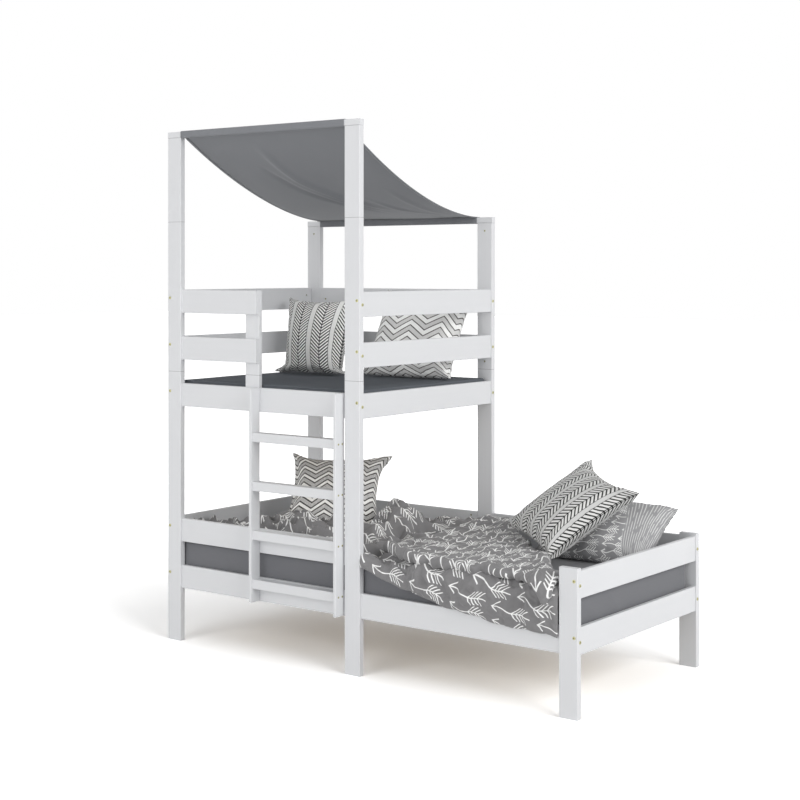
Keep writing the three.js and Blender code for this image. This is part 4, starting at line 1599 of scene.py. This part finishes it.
@dataclass
class Canopy:
    """One cotton sheet sewn into a sleeve round each canopy bar, sagging between them."""

    cloth: float = 1.4 * MM
    gap: float = 1.0 * MM
    sleeve_round: float = 2 * MM
    flap_layers: float = 2.2
    back_lap: float = 3 * MM
    sag_power: float = 1.8
    sag_points: int = 110
    across_steps: int = 96
    hem_width: float = 14 * MM
    slack_wave: float = 4 * MM
    edge_rise: float = 9 * MM
    edge_share: float = 0.07
    weave: PlainWeave = PlainWeave("canopy_cotton", tone(115, 117, 121), tone(130, 132, 136), sheen=0.15)
    ridges: tuple[Ridge, ...] = (
        Ridge(-15 * MM, 0.024, (
            (0.04, 0.385), (0.24, 0.4), (0.34, 0.417), (0.44, 0.464), (0.53, 0.509), (0.65, 0.6),
            (0.74, 0.66),
        )),
        Ridge(9 * MM, 0.02, (
            (0.2, 0.28), (0.32, 0.309), (0.45, 0.352), (0.56, 0.409), (0.64, 0.467), (0.8, 0.62),
        )),
        Ridge(-7 * MM, 0.015, ((0.45, 0.395), (0.56, 0.455), (0.64, 0.515), (0.8, 0.66))),
        Ridge(-8 * MM, 0.02, ((0.55, 0.64), (0.62, 0.683), (0.71, 0.734), (0.78, 0.8), (0.9, 0.92))),
        Ridge(-9 * MM, 0.02, ((0.45, 0.85), (0.55, 0.863), (0.68, 0.88), (0.8, 0.9), (0.9, 0.95))),
    )

    def __post_init__(self) -> None:
        """Reads the sheet's limits from its solid and the bars."""
        low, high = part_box("canopy_cloth")
        self.left, self.right = low.x, high.x
        self.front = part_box("canopy_bar_front")
        self.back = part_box("canopy_bar_back")

    def ring(self, box: tuple[Vector, Vector], start: int, turns: int) -> list[tuple[float, float]]:
        """Goes round a bar's section, corner by corner.

        Args:
            box: The bar's corners.
            start: The first corner: 0 lower back, 1 upper back, 2 upper front, 3 lower front.
            turns: 1 goes 0, 1, 2, 3, and -1 the other way.

        Returns:
            Points (y, z) just outside the bar.
        """
        wrap = self.gap + self.cloth / 2
        radius = wrap + self.sleeve_round
        low, high = box
        corners = [
            (high.y + wrap, low.z - wrap, -45), (high.y + wrap, high.z + wrap, 45),
            (low.y - wrap, high.z + wrap, 135), (low.y - wrap, low.z - wrap, 225),
        ]
        points: list[tuple[float, float]] = []
        for step in range(4):
            y, z, middle = corners[(start + turns * step) % 4]
            cy = y - math.copysign(radius, math.cos(math.radians(middle)))
            cz = z - math.copysign(radius, math.sin(math.radians(middle)))
            sweep = [-45, -15, 15, 45] if turns > 0 else [45, 15, -15, -45]
            for turn in sweep:
                angle = math.radians(middle + turn)
                points.append((cy + radius * math.cos(angle), cz + radius * math.sin(angle)))
        return points

    def profile(self) -> tuple[np.ndarray, np.ndarray]:
        """Draws the sheet's path from one sewn flap to the other.

        Returns:
            Points (y, z), and for each the share down the sag, or -1 on a sleeve.
        """
        wrap = self.gap + self.cloth / 2
        front_ring = self.ring(self.front, 0, 1)
        back_ring = self.ring(self.back, 1, -1)
        first = np.array([self.front[1].y + wrap, self.front[0].z - wrap * 0.2])
        last = np.array([self.back[0].y + self.back_lap, self.back[1].z + wrap])
        shares = np.linspace(0, 1, self.sag_points)
        sag = np.stack([
            first[0] + (last[0] - first[0]) * shares,
            last[1] + (first[1] - last[1]) * (1 - shares) ** self.sag_power,
        ], axis=1)
        step = self.flap_layers * self.cloth
        before = [(sag[i][0], sag[i][1] + step) for i in (3, 2, 1)]
        after = [(sag[i][0], sag[i][1] - step) for i in (-2, -3, -4)]
        points = np.array([*before, *front_ring[1:], *sag, *back_ring[1:], *after])
        marks = np.full(len(points), -1.0)
        head = len(before) + len(front_ring) - 1
        marks[head:head + len(sag)] = shares
        return points, marks

    def folds(self, across: np.ndarray, down: np.ndarray) -> np.ndarray:
        """Gives the soft ridges of the slack cloth and the rise of its left edge."""
        bowed_across = np.sin(np.pi * np.clip(across, 0, 1))
        bowed_down = np.sin(np.pi * np.clip(down, 0, 1))
        height = self.slack_wave * np.sin(across * 9 + down * 5)
        for ridge in self.ridges:
            height += ridge.lift(across, down)
        edge = self.edge_rise * np.exp(-across / self.edge_share) * bowed_down
        return height * np.sqrt(bowed_across * bowed_down) + edge

    def build(self) -> None:
        """Makes the sheet and its side hems."""
        points, marks = self.profile()
        lengths = np.concatenate([[0], np.cumsum(np.linalg.norm(np.diff(points, axis=0), axis=1))])
        total = float(lengths[-1])
        width = self.right - self.left
        bm = bmesh.new()
        cloth = bm.loops.layers.uv.new(CLOTH_UV)
        bmesh.ops.create_grid(bm, x_segments=self.across_steps, y_segments=len(points) - 1, size=0.5)
        for face in bm.faces:
            for loop in face.loops:
                share = loop.vert.co
                loop[cloth].uv = ((share.x + 0.5) * width, (share.y + 0.5) * total)
        mesh = mesh_of(bm, "canopy")
        start = coordinates(mesh)
        across = np.clip(start[:, 0] + 0.5, 0, 1)
        row = np.rint((start[:, 1] + 0.5) * (len(points) - 1)).astype(int)
        down = marks[row]
        lift = np.where(down >= 0, self.folds(across, down), 0)
        x = self.left + width * across
        placed = np.stack([x, points[row, 0], points[row, 1] + lift], axis=1)
        set_coordinates(mesh, placed)
        smooth(mesh)
        piece = new_object("canopy_sheet", mesh, self.weave.material())
        thicken(piece, self.cloth)
        hems = self.hems(placed, across, row, down, self.weave.material())
        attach(piece, "root")
        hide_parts("canopy_cloth")
        log.info("canopy_sheet: %.3f m by %.3f m", width, total)

    def hems(
        self, placed: np.ndarray, across: np.ndarray, row: np.ndarray, down: np.ndarray,
        material: bpy.types.Material,
    ) -> list[bpy.types.Object]:
        """Makes the turned-in hem along each side of the sag.

        Args:
            placed: The sheet's points.
            across: Each point's share across.
            row: Each point's row along the path.
            down: Each point's share down the sag, or -1.
            material: The cloth.

        Returns:
            The two hems.
        """
        made = []
        for name, edge, way in (("canopy_hem_left", 0.0, 1), ("canopy_hem_right", 1.0, -1)):
            on_edge = (np.abs(across - edge) < 1e-4) & (down >= 0)
            order = np.argsort(row[on_edge])
            line = placed[on_edge][order]
            bm = bmesh.new()
            near = [bm.verts.new(Vector(p) - Vector((0, 0, 1.5 * self.cloth))) for p in line]
            for first, second in zip(near, near[1:]):
                bm.edges.new((first, second))
            strip = bmesh.ops.extrude_edge_only(bm, edges=bm.edges[:])
            far = [item for item in strip["geom"] if isinstance(item, bmesh.types.BMVert)]
            bmesh.ops.translate(bm, verts=far, vec=Vector((way * self.hem_width, 0, 0)))
            cloth = bm.loops.layers.uv.new(CLOTH_UV)
            for face in bm.faces:
                for loop in face.loops:
                    loop[cloth].uv = (loop.vert.co.x, loop.vert.co.y)
            bmesh.ops.recalc_face_normals(bm, faces=bm.faces[:])
            mesh = mesh_of(bm, name)
            smooth(mesh)
            piece = new_object(name, mesh, material)
            thicken(piece, self.cloth)
            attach(piece, "root")
            made.append(piece)
        return made


# Studio

@dataclass
class Studio:
    """A pale floor, a soft sky, two large soft lights and the camera."""

    lens: float = 70.13
    camera_place: tuple[float, float, float] = (3.9132, -5.3058, 1.6211)
    azimuth: float = 37.176
    shift_y: float = -0.1629
    sensor: float = 36
    low_sky: float = 0.96
    high_sky: float = 0.38
    high_from: float = 0.9
    floor_reach: float = 40
    floor_bounce: Colour = (0.86, 0.86, 0.86, 1)
    # Camera colours of the floor: the lower near one is painted shade round the bed, the far one keeps the
    # backdrop white.
    floor_near: Colour = (1.72, 1.72, 1.72, 1)
    floor_far: Colour = (2.9, 2.9, 2.9, 1)
    far_from: float = 1.3
    far_over: float = 2.2

    def camera(self) -> None:
        """Places the camera at the photograph's viewing angle."""
        data = bpy.data.cameras.new("camera")
        data.lens = self.lens
        data.sensor_width = self.sensor
        data.shift_y = self.shift_y
        data.clip_end = 200
        camera = bpy.data.objects.new("camera", data)
        camera.location = self.camera_place
        camera.rotation_euler = (math.pi / 2, 0, math.radians(self.azimuth))
        bpy.context.scene.collection.objects.link(camera)
        bpy.context.scene.camera = camera

    def lamp(self, name: str, size: float, energy: float, place: Sequence[float]) -> None:
        """Adds a square soft light that faces the bed.

        Args:
            name: The light's name.
            size: Its side, in metres.
            energy: Its power, in watts.
            place: Where it stands.
        """
        data = bpy.data.lights.new(name, "AREA")
        data.size = size
        data.energy = energy
        light = bpy.data.objects.new(name, data)
        light.location = place
        aim = Vector((0, 0, 1.0)) - Vector(place)
        light.rotation_euler = aim.to_track_quat("-Z", "Y").to_euler()
        bpy.context.scene.collection.objects.link(light)

    def sky(self) -> None:
        """Lights the bed from all round, brighter low down, with white behind it."""
        world = bpy.data.worlds.new("sky")
        bpy.context.scene.world = world
        world.use_nodes = True
        tree = world.node_tree
        tree.nodes.clear()
        place = tree.nodes.new("ShaderNodeTexCoord")
        parts = tree.nodes.new("ShaderNodeSeparateXYZ")
        ramp = tree.nodes.new("ShaderNodeMapRange")
        ramp.inputs["From Min"].default_value = 0.0
        ramp.inputs["From Max"].default_value = self.high_from
        ramp.inputs["To Min"].default_value = self.low_sky
        ramp.inputs["To Max"].default_value = self.high_sky
        soft = tree.nodes.new("ShaderNodeBackground")
        white = tree.nodes.new("ShaderNodeBackground")
        white.inputs["Strength"].default_value = 1.0
        white.inputs["Color"].default_value = (1, 1, 1, 1)
        mix = tree.nodes.new("ShaderNodeMixShader")
        out = tree.nodes.new("ShaderNodeOutputWorld")
        links = tree.links
        links.new(place.outputs["Generated"], parts.inputs[0])
        links.new(parts.outputs["Z"], ramp.inputs["Value"])
        links.new(ramp.outputs["Result"], soft.inputs["Strength"])
        links.new(shows_background(tree), mix.inputs[0])
        links.new(soft.outputs[0], mix.inputs[1])
        links.new(white.outputs[0], mix.inputs[2])
        links.new(mix.outputs[0], out.inputs[0])

    def floor(self) -> None:
        """Lays a pale floor that keeps the bed's shadow; seen by the camera its colour is lower near the
        bed, painted shade that deepens that shadow, and rises to white farther out.
        """
        bm = bmesh.new()
        bmesh.ops.create_grid(bm, x_segments=1, y_segments=1, size=self.floor_reach)
        sheet = NodeSheet("pale_floor")
        sheet.surface(self.floor_bounce, 0.9)
        sheet.shader.inputs["Specular IOR Level"].default_value = 0
        seen = sheet.add("ShaderNodeBsdfDiffuse")
        away = sheet.add("ShaderNodeVectorMath", operation="LENGTH")
        sheet.feed(away.inputs[0], sheet.place())
        far = (Signal(sheet, away.outputs["Value"]) - self.far_from) / self.far_over
        far = sheet.math("ADD", far, 0.0, clamp=True)
        # Darker towards the bed: painted shade.
        sheet.feed(seen.inputs["Color"], sheet.mix(far, self.floor_near, self.floor_far))
        choose = sheet.add("ShaderNodeMixShader")
        out = next(n for n in sheet.tree.nodes if n.type == "OUTPUT_MATERIAL")
        sheet.feed(choose.inputs[0], shows_background(sheet.tree))
        sheet.feed(choose.inputs[1], sheet.shader.outputs[0])
        sheet.feed(choose.inputs[2], seen.outputs[0])
        sheet.feed(out.inputs["Surface"], choose.outputs[0])
        new_object("floor", mesh_of(bm, "floor"), sheet.material)

    def build(self) -> None:
        """Sets up the camera, lights and floor."""
        self.camera()
        self.sky()
        self.floor()
        self.lamp("front_light", 6.0, 255, (-0.5, -9.0, 3.0))
        self.lamp("side_light", 14.0, 2750, (19.5, -3.6, 10.6))
        bpy.context.scene.view_settings.view_transform = "Standard"


def foam_blocks() -> list[FoamBlock]:
    """Lists the mattress and the play pad."""
    mattress_weave = PlainWeave("mattress_weave", tone(112, 113, 117), tone(99, 100, 104), mapped=False)
    pad_weave = PlainWeave(
        "pad_weave", tone(105, 109, 114), tone(89, 93, 98), mapped=False, sheen=0.0, shine=0.08,
    )
    return [
        FoamBlock(
            "mattress", "mattress_cover", mattress_weave, "mattress_cover", voxel=9 * MM,
            wrinkle=1.6 * MM, wrinkle_scale=4.0, cord_radius=3.2 * MM, cord_inset=4 * MM,
        ),
        FoamBlock(
            "deck_pad", "pad_cover", pad_weave, "pad_cover", voxel=8 * MM,
            wrinkle=0.8 * MM, wrinkle_scale=5.0, cord_radius=2.6 * MM, cord_inset=3 * MM,
        ),
    ]


def loose_cushions() -> list[Cushion]:
    """Lists the loose cushions and the pillow."""
    return [
        Cushion(
            "deck_cushion_left", "deck_herringbone_cushion", 420 * MM, 365 * MM, 0, 14, 0,
            HerringbonePrint("deck_herringbone"), "herringbone_cotton",
            base_share=0.0, slump=0.2, drift=100 * MM, seed=1.0,
        ),
        Cushion(
            "deck_cushion_right", "deck_chevron_cushion", 492 * MM, 445 * MM, 0, 27, 0,
            # The same chevron cotton as the bed cushion's, in a lit copy with lighter grey, paper and edge;
            # the bed copy's darker defaults are painted shade.
            ChevronPrint(
                "deck_chevron", period=172 * MM, rise=50 * MM, pitch=56 * MM, white_share=0.5,
                line_share=0.1, grey=tone(214, 213, 212), paper=tone(253, 253, 251), edge=tone(66, 64, 63),
            ),
            "chevron_cotton", base_share=0.0, fullness=0.4, seed=2.0,
        ),
        Cushion(
            "bed_cushion", "bed_chevron_cushion", 442 * MM, 460 * MM, 32, 48, 0,
            # Shaded copy of the deck chevron cotton: its darker defaults are painted shade under the tower.
            ChevronPrint("bed_chevron", period=128 * MM, rise=50 * MM, pitch=57 * MM), "chevron_cotton",
            drawn_share=0.09, ears=((7 * MM, 20 * MM), (26 * MM, 14 * MM)), foot=18 * MM, seed=3.0,
        ),
        Cushion(
            "end_cushion", "end_herringbone_cushion", 445 * MM, 445 * MM, -23, 54, -15,
            HerringbonePrint(
                "end_herringbone", period=106 * MM, plain=24 * MM, stroke_pitch=19.5 * MM,
                stroke=7.6 * MM, slope=-0.7, first_plain=9 * MM, paper=tone(222, 222, 220),
                stripe=tone(206, 206, 205),
            ),
            "herringbone_cotton", drawn_share=0.12, ears=((18 * MM, 14 * MM), (14 * MM, 6 * MM)), seed=4.0,
        ),
        Cushion(
            "pillow", "arrow_pillow", 520 * MM, 352 * MM, 0, 53, 0,
            ArrowPrint(
                "pillow_arrows", length=112 * MM, cell=128 * MM, row=70 * MM, line=4 * MM,
                barb_pitch=10.5 * MM, barb_reach=17 * MM, slant_degrees=8, gathered_from=0.29,
                ground=tone(164, 164, 166),
            ),
            "printed_cotton", drawn_share=0.035, seed=5.0,
        ),
    ]


def main() -> None:
    """Builds the studio and every part of the bed."""
    logging.basicConfig(level=logging.INFO, format="%(name)s: %(message)s")
    noise.seed_set(NOISE_SEED)
    parts = [Studio(), WoodFrame(), *foam_blocks(), Duvet(), *loose_cushions(), Canopy()]
    for part in parts:
        part.build()


if __name__ == "__main__":
    main()
